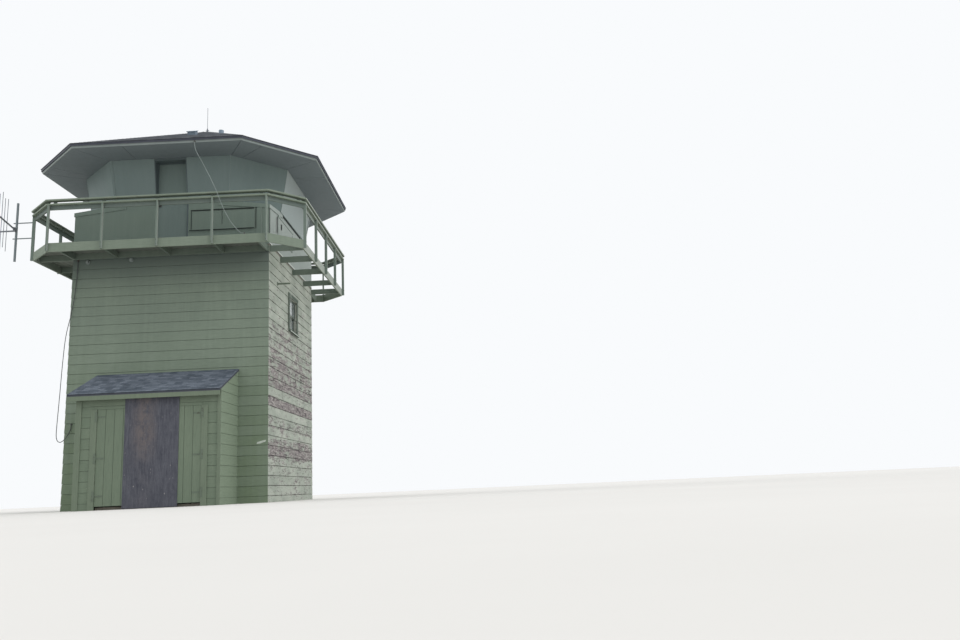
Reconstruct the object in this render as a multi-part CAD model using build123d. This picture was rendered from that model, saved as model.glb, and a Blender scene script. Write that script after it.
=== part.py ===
from build123d import *
import math
import os

os.makedirs("parts", exist_ok=True)

# Fire lookout tower: a square clad shaft with an eight-sided cab, a catwalk, a hip roof
# and a lean-to store. Millimetres, +Z up, origin at the middle of the shaft on the ground.
# The front faces -Y, and +X is to the right of someone who looks at the front.

# Shaft
tower_width = 4880.0
wall_thickness = 130.0
floor_thickness = 100.0

# Catwalk deck and frame
deck_height = 6273.0
deck_thickness = 38.0
catwalk_reach = 895.0
catwalk_clip = 700.0
joist_depth = 150.0
joist_width = 50.0
ledger_thickness = 38.0
rim_depth = 220.0
rim_thickness = 38.0

# Railing
rail_height = 1063.0
post_width = 40.0
post_depth = 70.0
post_foot_lift = 15.0
rail_board_depth = 102.0
rail_board_thickness = 38.0
rail_plate_thickness = 38.0
rail_plate_width = 140.0
rail_gap = 65.0
cap_thickness = 38.0
cap_width = 150.0
cap_overhang = 20.0
rail_block_length = 75.0
rail_block_inset = 130.0
bays_per_side = 4

# Quarter turns from the front to the right side
right_side = 1

# Knee wall and sill
knee_height = 1163.0
knee_thickness = 90.0
corner_drop = 136.0
sill_thickness = 25.0
sill_width = 100.0
trim_depth = 100.0
trim_thickness = 18.0
trim_inner_end = 1160.0

# Boarded panels on the knee wall
panel_height = 522.0
panel_band_depth = 8.0
panel_thickness = 18.0
panel_band_thickness = 30.0
panel_door_gap = 92.0
front_panel_corner_gap = 360.0
right_panel_corner_gap = 810.0
panel_batten_width = 140.0
panel_batten_gap = 30.0

# Leaning cab walls
cab_side_bottom = 2872.0
cab_side_top = 3040.0
cab_wall_height = 1120.0
cab_wall_thickness = 60.0
cab_overhang = 30.0
cab_lean = 195.0

# Cab door
door_opening = 816.0
door_jamb_thickness = 25.0
door_clearance = 3.0
door_leaf_thickness = 44.0
door_leaf_recess = 45.0
door_head_depth = 50.0
door_threshold_gap = 10.0
door_stop_width = 30.0
door_stop_depth = 14.0
door_stop_clearance = 0.3

# Roof
eave_half_width = 3550.0
eave_side = 4110.0
soffit_thickness = 20.0
fascia_drop = 2.0
fascia_depth = 60.0
fascia_thickness = 25.0
roof_overhang = 25.0
roof_rise = 1766.0
roof_thickness = 55.0
roof_peak_size = 120.0
roof_peak_height = 20.0

# Things on the roof
box_vent_x = 240.0
box_vent_y = -1800.0
box_vent_width = 200.0
box_vent_length = 220.0
box_vent_height = 110.0
box_vent_lid_overhang = 20.0
box_vent_lid_thickness = 18.0
pipe_vent_x = 990.0
pipe_vent_y = -1800.0
pipe_vent_radius = 65.0
pipe_vent_wall = 4.0
pipe_vent_height = 90.0
flashing_radius = 120.0
flashing_thickness = 6.0
whip_length = 740.0
whip_radius = 6.0
whip_base_radius = 30.0
whip_base_height = 40.0

# Shaft window in the right wall
window_y = 40.0
window_head_drop = 700.0
window_width = 840.0
window_height = 910.0
casing_width = 110.0
casing_thickness = 22.0
sill_board_height = 45.0
sill_board_depth = 70.0
sash_width = 50.0
sash_thickness = 35.0
sash_recess = 40.0
sash_clearance = 0.4
glass_thickness = 5.0

# Bar that stands out of the right wall
stub_y = -1620.0
stub_drop = 640.0
stub_length = 330.0
stub_radius = 22.0
stub_plate_size = 90.0
stub_plate_thickness = 8.0

# Lean-to store
shed_left = -1550.0
shed_right = 1715.0
shed_depth = 1250.0
shed_wall_thickness = 90.0
shed_floor_thickness = 60.0
shed_eave_overhang = 150.0
shed_roof_left_overhang = 155.0
shed_roof_right_overhang = 10.0
shed_eave_top = 2550.0
shed_roof_top = 3163.0
shed_roof_thickness = 40.0
shed_fascia_depth = 100.0
shed_fascia_thickness = 25.0
shed_trim_thickness = 20.0
shed_left_board_width = 125.0
shed_right_board_width = 75.0
shed_door_left = -1070.0
shed_door_right = 1286.0
shed_door_head = 2210.0
shed_door_trim_width = 133.0
shed_door_thickness = 45.0
shed_door_clearance = 3.0
shed_door_lift = 20.0

# Sheet nailed over the store doors
sheet_width = 1219.0
sheet_height = 2438.0
sheet_thickness = 15.0
sheet_x = 167.0
sheet_lift = 10.0

# Strap hinges of the store doors
hinge_heights = (300.0, 1125.0, 2040.0)
hinge_strap_length = 190.0
hinge_strap_width = 40.0
hinge_strap_thickness = 5.0
hinge_knuckle_radius = 8.0
hinge_knuckle_length = 90.0
hinge_plate_width = 45.0
hinge_plate_length = 220.0

# Antenna on the left of the catwalk
mast_stand_off = 395.0
mast_bottom = 6070.0
mast_length = 1500.0
mast_radius = 28.0
arm_heights = (6650.0, 7050.0)
arm_size = 22.0
arm_tail = 80.0
boom_height = 6856.0
boom_length = 1300.0
boom_radius = 20.0
boom_turn = 11.5
boom_clamp_length = 160.0
boom_clamp_size = 84.0
element_places = (647.0, 835.0, 1000.0, 1180.0)
element_lengths = (1310.0, 1220.0, 1420.0, 1200.0)
element_drop = 55.0
element_radius = 7.0
brace_length = 430.0
brace_radius = 20.0

# Hanging wire and cable
wire_radius = 6.0
cable_radius = 8.0
clip_width = 34.0
clip_depth = 38.0
clip_height = 30.0
eave_clip_lift = 6.0
top_clip_drop = 45.0
low_clip_height = 2010.0
clip_seat = 0.5
bend_share = 0.45

# Clearance between like boards that meet end to end
board_gap = 0.5

# Sizes that follow from the ones above
half_width = tower_width / 2
rim_half = half_width + catwalk_reach
rim_side_half = rim_half - catwalk_clip
joist_top = deck_height - deck_thickness
joist_low = joist_top - joist_depth
window_head_height = joist_low - window_head_drop
window_sill_height = window_head_height - window_height
stub_height = joist_low - stub_drop
sill_top = deck_height + knee_height
sill_bottom = sill_top - sill_thickness
soffit_height = sill_top + cab_wall_height
fascia_bottom = soffit_height - fascia_drop
fascia_top = fascia_bottom + fascia_depth
rail_top = deck_height + rail_height
cap_bottom = rail_top - cap_thickness
rail_plate_top = cap_bottom - rail_gap
rail_board_top = rail_plate_top - rail_plate_thickness
cab_bottom_half = half_width + cab_overhang
cab_top_half = cab_bottom_half + cab_lean
cab_bottom_side = cab_side_bottom / 2
cab_top_side = cab_side_top / 2
mitre = math.sqrt(2) - 1
store_front = -(half_width + shed_depth)
front_face = -half_width


def block(x, y, z):
    """A box between two values on each axis."""
    size = (x[1] - x[0], y[1] - y[0], z[1] - z[0])
    middle = (sum(x) / 2, sum(y) / 2, sum(z) / 2)
    return Pos(*middle) * Box(*size)


def polygon_face(points):
    """A flat face through points given in order."""
    return Face(Wire.make_polygon([Vector(*p) for p in points], close=True))


def prism(points, low, high):
    """An upright prism on an outline in plan."""
    outline = polygon_face([(x, y, low) for x, y in points])
    return extrude(outline, amount=high - low, dir=(0, 0, 1))


def slab_along_x(profile, low, high):
    """A profile of (y, z) points pushed along X."""
    outline = polygon_face([(low, y, z) for y, z in profile])
    return extrude(outline, amount=high - low, dir=(1, 0, 0))


def slab_along_y(profile, low, high):
    """A profile of (x, z) points pushed along Y."""
    outline = polygon_face([(x, low, z) for x, z in profile])
    return extrude(outline, amount=high - low, dir=(0, 1, 0))


def between(bottom, top):
    """The solid between two outlines with as many corners each."""
    count = len(bottom)
    faces = [polygon_face(bottom), polygon_face(top)]
    for i in range(count):
        j = (i + 1) % count
        faces.append(polygon_face([bottom[i], bottom[j], top[j], top[i]]))
    return Solid(Shell(faces))


def octagon(half, side_half):
    """Corners of an eight-sided plan, from the front side's left end round to the right."""
    a, h = half, side_half
    return [(-h, -a), (h, -a), (a, -h), (a, h), (h, a), (-h, a), (-a, h), (-a, -h)]


def inner_octagon(half, side_half, inset):
    """The corners of the same plan moved in by one distance on all sides."""
    return octagon(half - inset, side_half - inset * mitre)


def shortened(start, end, gap):
    """Both ends of a plan line, moved in by half a gap."""
    run = Vector(*end) - Vector(*start)
    step = run.normalized() * (gap / 2)
    first = Vector(*start) + step
    last = Vector(*end) - step
    return first, last


def ring_boards(half, side_half, inset, low, high):
    """Eight mitred boards round an eight-sided plan."""
    outer = octagon(half, side_half)
    inner = inner_octagon(half, side_half, inset)
    boards = []
    for i in range(len(outer)):
        j = (i + 1) % len(outer)
        first, last = shortened(outer[i], outer[j], board_gap)
        inner_first, inner_last = shortened(inner[i], inner[j], board_gap)
        corners = [(p.X, p.Y) for p in (first, last, inner_last, inner_first)]
        boards.append(prism(corners, low, high))
    return boards


def turned(shapes, quarter):
    """Shapes of the front moved to another side: 1 right, 2 back, 3 left."""
    return [Rot(0, 0, 90 * quarter) * shape for shape in shapes]


def on_all_sides(shapes):
    """Shapes of the front repeated on the four sides."""
    return [shape for quarter in range(4) for shape in turned(shapes, quarter)]


def on_ledger_sides(shapes):
    """Shapes of the front repeated on the three sides that have a ledger."""
    return [shape for quarter in range(4) if quarter != right_side for shape in turned(shapes, quarter)]


def write(node, shapes):
    """One STEP file for a node of one or more solids."""
    solids = [solid for shape in shapes for solid in shape.solids()]
    export_step(solids[0] if len(solids) == 1 else Compound(children=solids), f"parts/{node}.step")


def write_shaft():
    """Clad walls of the shaft, its ground floor and the cab floor on top."""
    inner = half_width - wall_thickness
    front = block((-half_width, half_width), (-half_width, -inner), (0, joist_top))
    side = block((inner, half_width), (-inner, inner), (0, joist_top))
    window = block((0, rim_half), (window_y - window_width / 2, window_y + window_width / 2),
                   (window_sill_height, window_head_height))
    write("front_wall", [front])
    write("back_wall", turned([front], 2))
    write("right_wall", [side - window])
    write("left_wall", turned([side], 2))
    write("ground_floor", [block((-inner, inner), (-inner, inner), (0, floor_thickness))])
    write("cab_floor", [block((-half_width, half_width), (-half_width, half_width), (joist_top, deck_height))])


def joist_places():
    """Distances along a side at which the joists and the posts' bays stand."""
    last = half_width - joist_width
    bay = 2 * rim_side_half / bays_per_side
    inner = [bay * (i - bays_per_side / 2) for i in range(1, bays_per_side)]
    return [-last] + inner + [last]


def joists(inner_face):
    """The joists of one side, from the rim board to a face at a distance from the shaft's axis."""
    rim_face = rim_half - rim_thickness
    return [block((x - joist_width / 2, x + joist_width / 2), (-rim_face, -inner_face), (joist_low, joist_top))
            for x in joist_places()]


def write_deck():
    """Framing, rim boards and the deck; the right side has no ledger and has lost its boards."""
    ledger_face = half_width + ledger_thickness
    rim_face = rim_half - rim_thickness
    ledger = block((-half_width, half_width), (-ledger_face, -half_width), (joist_low, joist_top))
    write("ledgers", on_ledger_sides([ledger]))
    write("joists", on_ledger_sides(joists(ledger_face)) + turned(joists(half_width), right_side))
    write("rim_boards", ring_boards(rim_half, rim_side_half, rim_thickness,
                                    deck_height - rim_depth, deck_height))
    side = rim_side_half - rim_thickness * mitre
    right_end = joist_places()[-1] + joist_width / 2
    gap = board_gap
    strip = [(-side, -rim_face), (right_end, -rim_face), (right_end, -half_width),
             (-rim_face, -half_width), (-rim_face, -side)]
    front = prism(strip, joist_top, deck_height)
    back = prism([(x, -y) for x, y in reversed(strip)], joist_top, deck_height)
    left = block((-rim_face, -half_width), (-half_width + gap, half_width - gap), (joist_top, deck_height))
    write("deck", [front, back, left])


def post_places():
    """Distances along a side at which the rail posts stand."""
    bay = 2 * rim_side_half / bays_per_side
    end = rim_side_half - post_width / 2
    inner = [bay * (i - bays_per_side / 2) for i in range(1, bays_per_side)]
    return [-end] + inner + [end]


def write_railing():
    """Posts on the rim, a board behind them, a plate on both, and a cap on short blocks."""
    post_low = deck_height - rim_depth + post_foot_lift
    posts = [block((x - post_width / 2, x + post_width / 2), (-rim_half - post_depth, -rim_half),
                   (post_low, rail_board_top)) for x in post_places()]
    write("rail_posts", on_all_sides(posts))
    write("rail_boards", ring_boards(rim_half, rim_side_half, rail_board_thickness,
                                     rail_board_top - rail_board_depth, rail_board_top))
    write("rail_plates", ring_boards(rim_half + post_depth, rim_side_half + post_depth * mitre, rail_plate_width,
                                     rail_board_top, rail_plate_top))
    cap_reach = post_depth + cap_overhang
    write("rail_cap", ring_boards(rim_half + cap_reach, rim_side_half + cap_reach * mitre, cap_width,
                                  cap_bottom, rail_top))
    places = post_places()
    places[0] += rail_block_inset
    places[-1] -= rail_block_inset
    side_blocks = [rail_block(x, rim_half) for x in places]
    clip_place = catwalk_clip / math.sqrt(2) - rail_block_inset
    clip_face = (rim_half + rim_side_half) / math.sqrt(2)
    clip_blocks = [Rot(0, 0, 45) * rail_block(x, clip_face) for x in (-clip_place, clip_place)]
    write("rail_blocks", on_all_sides(side_blocks + clip_blocks))


def rail_block(x, face):
    """A short block between the plate and the cap, at a distance from the shaft's axis."""
    return block((x - rail_block_length / 2, x + rail_block_length / 2),
                 (-face, -face + rail_board_thickness), (rail_plate_top, cap_bottom))


def knee_top(distance):
    """Top of the knee wall at a distance along its side, which falls towards the corner."""
    beyond = max(0.0, abs(distance) - cab_bottom_side)
    return sill_bottom - corner_drop * beyond / (half_width - cab_bottom_side)


def knee_profile(half_length):
    """Outline of one knee wall seen from outside."""
    return [(-half_length, deck_height), (half_length, deck_height), (half_length, knee_top(half_length)),
            (cab_bottom_side, sill_bottom), (-cab_bottom_side, sill_bottom),
            (-half_length, knee_top(half_length))]


def door_space():
    """Space of the cab doorway, through the knee wall, the sill and the leaning wall."""
    half = door_opening / 2
    return block((-half, half), (-rim_half, -cab_bottom_side), (deck_height, soffit_height))


def write_knee_walls():
    """Plywood knee walls, their sloped corner shelves, corner trim and boarded panels."""
    long_wall = slab_along_y(knee_profile(half_width), -half_width, -half_width + knee_thickness)
    short_wall = slab_along_y(knee_profile(half_width - knee_thickness), -half_width,
                              -half_width + knee_thickness)
    front = long_wall - door_space()
    write("knee_walls", [front] + turned([short_wall], 1) + turned([long_wall], 2) + turned([short_wall], 3))

    corner, side, drop = half_width, cab_bottom_side, corner_drop
    low = [(side, -corner, sill_bottom), (corner, -corner, sill_bottom - drop), (corner, -side, sill_bottom)]
    high = [(x, y, z + sill_thickness) for x, y, z in low]
    write("corner_shelves", on_all_sides([between(low, high)]))

    outer = half_width + trim_thickness
    top_at_corner = sill_top - drop
    lower_start = trim_lower_edge(trim_inner_end)
    lower_end = trim_lower_edge(outer)
    profile = [(trim_inner_end, lower_start), (outer, lower_end), (outer, top_at_corner), (side, sill_top),
               (trim_inner_end, sill_top)]
    mirrored = [(-x, z) for x, z in reversed(profile)]
    front_trim = [slab_along_y(p, -outer, -half_width) for p in (profile, mirrored)]
    inner_end = half_width - board_gap
    side_profile = [(trim_inner_end, lower_start), (inner_end, trim_lower_edge(inner_end)),
                    (inner_end, top_at_corner),
                    (side, sill_top), (trim_inner_end, sill_top)]
    side_mirrored = [(-x, z) for x, z in reversed(side_profile)]
    side_trim = [slab_along_y(p, -outer, -half_width) for p in (side_profile, side_mirrored)]
    write("knee_trim", front_trim + turned(side_trim, 1) + turned(front_trim, 2) + turned(side_trim, 3))

    front_low = door_opening / 2 + panel_door_gap
    front_high = half_width - front_panel_corner_gap
    right_low = right_panel_corner_gap - half_width
    top = trim_lower_edge(front_high) - board_gap - panel_band_depth
    front_panels = knee_panels(front_low, front_high, top) + [panel_batten(front_high)]
    right_panels = knee_panels(right_low, right_low + front_high - front_low, top)
    write("knee_panels", front_panels + turned(right_panels, 1))


def trim_lower_edge(distance):
    """Lower edge of the corner trim at a distance along its side."""
    outer = half_width + trim_thickness
    share = max(0.0, (distance - trim_inner_end) / (outer - trim_inner_end))
    return sill_top - trim_depth - corner_drop * share


def knee_panels(low, high, top):
    """A boarded panel under the thicker edge of the band above it."""
    x = (low, high)
    band_top = trim_lower_edge(max(abs(low), abs(high))) - board_gap
    sheet = block(x, (front_face - panel_thickness, front_face), (top - panel_height, top - board_gap))
    band = block(x, (front_face - panel_band_thickness, front_face), (top, band_top))
    return [sheet, band]


def panel_batten(panel_end):
    """Upright board at the corner side of a panel."""
    low = panel_end + panel_batten_gap
    high = low + panel_batten_width
    return block((low, high), (front_face - trim_thickness, front_face),
                 (deck_height, trim_lower_edge(high) - board_gap))


def leaning_panels():
    """Eight leaning wall panels between the sill and the soffit."""
    bottom = octagon(cab_bottom_half, cab_bottom_side)
    top = octagon(cab_top_half, cab_top_side)
    inner_bottom = inner_octagon(cab_bottom_half, cab_bottom_side, cab_wall_thickness)
    inner_top = inner_octagon(cab_top_half, cab_top_side, cab_wall_thickness)
    panels = []
    for i in range(len(bottom)):
        j = (i + 1) % len(bottom)
        rows = []
        for outer, inner, z in ((bottom, inner_bottom, sill_top), (top, inner_top, soffit_height)):
            first, last = shortened(outer[i], outer[j], board_gap)
            inner_first, inner_last = shortened(inner[i], inner[j], board_gap)
            rows.append([(p.X, p.Y, z) for p in (first, last, inner_last, inner_first)])
        panels.append(between(*rows))
    return panels


def write_cab():
    """Sill and leaning walls of the cab, open at the doorway."""
    sill = ring_boards(half_width, cab_bottom_side, sill_width, sill_bottom, sill_top)
    sill[0] = sill[0] - door_space()
    write("cab_sill", sill)
    panels = leaning_panels()
    panels[0] = panels[0] - door_space()
    write("cab_walls", panels)


def write_cab_door():
    """Jambs, head and stops of the cab doorway, and the leaf behind the stops."""
    half = door_opening / 2
    inside = front_face + knee_thickness
    jamb = [(front_face, deck_height), (front_face, sill_bottom), (-cab_bottom_half, sill_top),
            (-cab_top_half, soffit_height), (inside, soffit_height), (inside, deck_height)]
    light_half = half - door_jamb_thickness
    left = slab_along_x(jamb, -half, -light_half)
    right = slab_along_x(jamb, light_half, half)
    head_half = light_half - board_gap
    head_low = soffit_height - door_head_depth
    head_front = -cab_top_half + cab_lean * door_head_depth / cab_wall_height
    head = block((-head_half, head_half), (head_front, inside), (head_low, soffit_height))

    leaf_front = front_face + door_leaf_recess
    stop_y = (leaf_front - door_stop_clearance - door_stop_width, leaf_front - door_stop_clearance)
    stop_high = head_low - board_gap
    head_stop = block((-head_half, head_half), stop_y, (stop_high - door_stop_depth, stop_high))
    side_stops = [block(sorted((side * head_half, side * (head_half - door_stop_depth))), stop_y,
                        (deck_height, stop_high - door_stop_depth - board_gap)) for side in (-1, 1)]
    write("cab_door_frame", [left, right, head, head_stop] + side_stops)

    leaf_half = light_half - door_clearance
    leaf = block((-leaf_half, leaf_half), (leaf_front, leaf_front + door_leaf_thickness),
                 (deck_height + door_threshold_gap, head_low - door_clearance))
    write("cab_door", [leaf])


def roof_outline(share, z):
    """The roof's plan at one share of its full width."""
    half = (eave_half_width + roof_overhang) * share
    side = eave_side / 2 * half / eave_half_width
    return [(x, y, z) for x, y in octagon(half, side)]


def roof_under(share):
    """Height of the slopes' underside at one share of the roof's full width."""
    fascia_share = eave_half_width / (eave_half_width + roof_overhang)
    return fascia_top + roof_rise * (fascia_share - share)


def roof_surface(y):
    """Height of the roof's front slope above a place on its middle line."""
    return roof_under(abs(y) / (eave_half_width + roof_overhang)) + roof_thickness


def write_roof():
    """Eight-sided hip roof on a closed soffit: fascia, eight slopes and the peak."""
    side = eave_side / 2
    inner = inner_octagon(eave_half_width, side, fascia_thickness + board_gap)
    write("soffit", [prism(inner, soffit_height, soffit_height + soffit_thickness)])
    write("fascia", ring_boards(eave_half_width, side, fascia_thickness, fascia_bottom, fascia_top))

    peak_share = roof_peak_size / (eave_half_width + roof_overhang)
    peak_low = roof_under(peak_share)
    eave = roof_outline(1.0, roof_under(1.0))
    ridge = roof_outline(peak_share, peak_low)
    slopes = []
    for i in range(len(eave)):
        j = (i + 1) % len(eave)
        along = (Vector(*eave[j]) - Vector(*eave[i])).normalized() * (board_gap / 2)
        under = [Vector(*eave[i]) + along, Vector(*eave[j]) - along, Vector(*ridge[j]) - along,
                 Vector(*ridge[i]) + along]
        over = [p + Vector(0, 0, roof_thickness) for p in under]
        slopes.append(between([tuple(p) for p in under], [tuple(p) for p in over]))
    write("roof_slopes", slopes)

    fit_share = peak_share * (1 - board_gap / roof_peak_size)
    cap_share = 1 - roof_peak_height / (roof_rise * peak_share)
    plug_low = roof_outline(fit_share, peak_low)
    plug_high = roof_outline(fit_share, peak_low + roof_thickness)
    peak_top = roof_outline(fit_share * cap_share, peak_low + roof_thickness + roof_peak_height)
    write("roof_peak", [between(plug_low, plug_high) + between(plug_high, peak_top)])
    return peak_low + roof_thickness + roof_peak_height


def write_roof_fittings(peak_top):
    """Low box vent, pipe vent and whip antenna on the roof."""
    slope = math.degrees(math.atan2(roof_rise, eave_half_width + roof_overhang))
    seat = Pos(box_vent_x, box_vent_y, roof_surface(box_vent_y)) * Rot(slope, 0, 0)
    body = Pos(0, 0, box_vent_height / 2) * Box(box_vent_width, box_vent_length, box_vent_height)
    lid_low = box_vent_height - box_vent_lid_thickness
    lid = Pos(0, 0, lid_low + box_vent_lid_thickness / 2) * Box(
        box_vent_width + 2 * box_vent_lid_overhang, box_vent_length + 2 * box_vent_lid_overhang,
        box_vent_lid_thickness)
    write("roof_vent", [seat * (body + lid)])

    foot = Pos(pipe_vent_x, pipe_vent_y, roof_surface(pipe_vent_y)) * Rot(slope, 0, 0)
    surface = Plane(foot)
    collar = foot * Pos(0, 0, flashing_thickness / 2) * Cylinder(flashing_radius, flashing_thickness)
    pipe_length = pipe_vent_height + 2 * pipe_vent_radius
    pipe = Pos(pipe_vent_x, pipe_vent_y, roof_surface(pipe_vent_y) + pipe_vent_height - pipe_length / 2)
    outer = pipe * Cylinder(pipe_vent_radius, pipe_length)
    bore = pipe * Cylinder(pipe_vent_radius - pipe_vent_wall, pipe_length)
    tube = split(outer - bore, bisect_by=surface, keep=Keep.TOP)
    write("vent_pipe", [tube + (collar - bore)])

    base = Pos(0, 0, peak_top + whip_base_height / 2) * Cylinder(whip_base_radius, whip_base_height)
    rod = Pos(0, 0, peak_top + whip_base_height + whip_length / 2) * Cylinder(whip_radius, whip_length)
    write("whip_antenna", [base + rod])


def write_window():
    """Casing, double-hung sashes and glass in the right wall."""
    y = (window_y - window_width / 2, window_y + window_width / 2)
    z = (window_sill_height, window_head_height)
    x = (half_width, half_width + casing_thickness)
    gap = board_gap
    side_low = z[0] + gap
    left = block(x, (y[0] - casing_width, y[0]), (side_low, z[1] - gap))
    right = block(x, (y[1], y[1] + casing_width), (side_low, z[1] - gap))
    head = block(x, (y[0] - casing_width, y[1] + casing_width), (z[1], z[1] + casing_width))
    sill = block((half_width, half_width + sill_board_depth),
                 (y[0] - casing_width, y[1] + casing_width), (z[0] - sill_board_height, z[0]))
    write("window_casing", [left, right, head, sill])

    middle = sum(z) / 2
    face = half_width - sash_recess
    sashes = []
    panes = []
    for low, high, outer in ((z[0], middle + sash_width / 2, face - sash_thickness - gap),
                             (middle - sash_width / 2, z[1], face)):
        sash_x = (outer - sash_thickness, outer)
        edge = sash_clearance
        frame = block(sash_x, (y[0] + edge, y[1] - edge), (low + edge, high - edge))
        light_y = (y[0] + edge + sash_width, y[1] - edge - sash_width)
        light_z = (low + edge + sash_width, high - edge - sash_width)
        sashes.append(frame - block(sash_x, light_y, light_z))
        glass_x = (outer - sash_thickness / 2 - glass_thickness / 2, outer - sash_thickness / 2 + glass_thickness / 2)
        panes.append(block(glass_x, light_y, light_z))
    write("window_sashes", sashes)
    write("window_glass", panes)


def write_wall_stub():
    """Round bar on a small plate, standing straight out of the right wall."""
    plate = Pos(half_width + stub_plate_thickness / 2, stub_y, stub_height) * Box(
        stub_plate_thickness, stub_plate_size, stub_plate_size)
    bar = Pos(half_width + stub_length / 2, stub_y, stub_height) * Rot(0, 90, 0) * Cylinder(
        stub_radius, stub_length)
    write("wall_stub", [plate + bar])


def shed_roof_z(y):
    """Top of the store's roof at a distance from the shaft's axis."""
    eave = store_front - shed_eave_overhang
    return shed_eave_top + (shed_roof_top - shed_eave_top) * (y - eave) / (front_face - eave)


def write_store():
    """Lean-to store against the front wall: floor, walls, trim and roof."""
    back = front_face
    inner = store_front + shed_wall_thickness
    under_front = shed_roof_z(store_front) - shed_roof_thickness
    x_in = (shed_left + shed_wall_thickness, shed_right - shed_wall_thickness)
    write("store_floor", [block(x_in, (inner, back), (0, shed_floor_thickness))])

    gap = board_gap
    left = block((shed_left, shed_door_left), (store_front, inner), (0, under_front))
    right = block((shed_door_right, shed_right), (store_front, inner), (0, under_front))
    header = block((shed_door_left + gap, shed_door_right - gap), (store_front, inner),
                   (shed_door_head, under_front))
    write("store_front_wall", [left, right, header])
    profile = [(inner, 0), (back, 0), (back, shed_roof_z(back) - shed_roof_thickness),
               (inner, shed_roof_z(inner) - shed_roof_thickness)]
    write("store_side_walls", [slab_along_x(profile, shed_left, x_in[0]),
                               slab_along_x(profile, x_in[1], shed_right)])

    face = (store_front - shed_trim_thickness, store_front)
    trim_top = shed_roof_z(store_front - shed_trim_thickness) - shed_roof_thickness
    write("store_trim", [
        block((shed_left, shed_left + shed_left_board_width), face, (0, trim_top)),
        block((shed_right - shed_right_board_width, shed_right), face, (0, trim_top)),
        block((shed_door_left - shed_door_trim_width, shed_door_left), face, (0, shed_door_head)),
        block((shed_door_right, shed_door_right + shed_door_trim_width), face, (0, shed_door_head))])

    roof_left = shed_left - shed_roof_left_overhang
    roof_right = shed_right + shed_roof_right_overhang
    eave = store_front - shed_eave_overhang
    slab = [(eave, shed_roof_z(eave) - shed_roof_thickness), (back, shed_roof_top - shed_roof_thickness),
            (back, shed_roof_top), (eave, shed_eave_top)]
    write("store_roof", [slab_along_x(slab, roof_left, roof_right)])
    fascia_high = shed_eave_top - shed_roof_thickness
    write("store_fascia", [block((roof_left, roof_right), (eave, eave + shed_fascia_thickness),
                                 (fascia_high - shed_fascia_depth, fascia_high))])


def write_store_doors():
    """Two board doors, their strap hinges and the sheet nailed over both."""
    middle = (shed_door_left + shed_door_right) / 2
    gap = shed_door_clearance
    y = (store_front, store_front + shed_door_thickness)
    z = (shed_floor_thickness + shed_door_lift, shed_door_head - gap)
    write("store_door_left", [block((shed_door_left + gap, middle - gap / 2), y, z)])
    write("store_door_right", [block((middle + gap / 2, shed_door_right - gap), y, z)])

    hinges = []
    for height in hinge_heights:
        for edge, into in ((shed_door_left, 1), (shed_door_right, -1)):
            hinges.append(strap_hinge(edge, into, height))
    write("store_hinges", hinges)

    sheet = block((sheet_x - sheet_width / 2, sheet_x + sheet_width / 2),
                  (store_front - sheet_thickness, store_front), (sheet_lift, sheet_lift + sheet_height))
    write("door_sheet", [sheet])


def strap_hinge(edge, into, height):
    """A strap on the leaf, a knuckle at its edge and a plate on the trim beside it."""
    knuckle_y = store_front - shed_trim_thickness + hinge_knuckle_radius + board_gap
    knuckle_x = edge + into * (hinge_knuckle_radius + board_gap)
    strap_x = sorted((knuckle_x, edge + into * hinge_strap_length))
    strap = block(strap_x, (store_front - hinge_strap_thickness, store_front),
                  (height - hinge_strap_width / 2, height + hinge_strap_width / 2))
    knuckle = Pos(knuckle_x, knuckle_y, height) * Cylinder(hinge_knuckle_radius, hinge_knuckle_length)
    plate_x = sorted((edge - into * hinge_plate_width, knuckle_x))
    trim_face = store_front - shed_trim_thickness
    plate = block(plate_x, (trim_face - hinge_strap_thickness, trim_face),
                  (height - hinge_plate_length / 2, height + hinge_plate_length / 2))
    web_x = (knuckle_x - hinge_strap_thickness / 2, knuckle_x + hinge_strap_thickness / 2)
    web = block(web_x, (trim_face - hinge_strap_thickness, store_front),
                (height - hinge_strap_width / 2, height + hinge_strap_width / 2))
    return strap + knuckle + plate + web


def write_side_antenna():
    """Mast on two arms at the left corner post, with a boom of upright elements."""
    post_face = -(rim_half + post_depth)
    post_y = -(rim_side_half - post_width / 2)
    mast_x = post_face - mast_stand_off
    mast = Pos(mast_x, post_y, mast_bottom + mast_length / 2) * Cylinder(mast_radius, mast_length)
    arms = [block((mast_x - arm_tail, post_face), (post_y - arm_size / 2, post_y + arm_size / 2),
                  (z - arm_size / 2, z + arm_size / 2)) for z in arm_heights]
    write("antenna_mast", [mast + arms[0] + arms[1]])

    centre = Pos(mast_x, post_y, boom_height) * Rot(0, 0, boom_turn)
    start = mast_radius + board_gap
    clamp_end = start + boom_clamp_length
    boom = Pos(0, -(start + boom_length / 2), 0) * Rot(90, 0, 0) * Cylinder(boom_radius, boom_length)
    clamp = Pos(0, -(start + clamp_end) / 2, 0) * Box(boom_clamp_size / 2, boom_clamp_length, boom_clamp_size)
    yagi = boom + clamp
    for place, length in zip(element_places, element_lengths):
        yagi += Pos(0, -place, -element_drop) * Cylinder(element_radius, length)
    brace = Pos(mast_x - start - brace_length / 2, post_y, boom_height) * Rot(0, 90, 0) * Cylinder(
        brace_radius, brace_length)
    write("antenna_yagi", [centre * yagi, brace])


# Route of the pale wire from the eave down to the rim
wire_points = [(930, -3569, 8560), (936, -3577, 8435), (982, -3584, 8300), (1052, -3586, 8168),
               (1130, -3584, 8025), (1204, -3580, 7880), (1276, -3573, 7732), (1343, -3565, 7592),
               (1408, -3555, 7446), (1468, -3542, 7300), (1520, -3527, 7160), (1570, -3509, 7018),
               (1624, -3487, 6878), (1684, -3461, 6744), (1749, -3431, 6618), (1818, -3401, 6508),
               (1886, -3373, 6418), (1946, -3346, 6348), (2002, -3319, 6298), (2062, -3317, 6295)]

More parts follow.
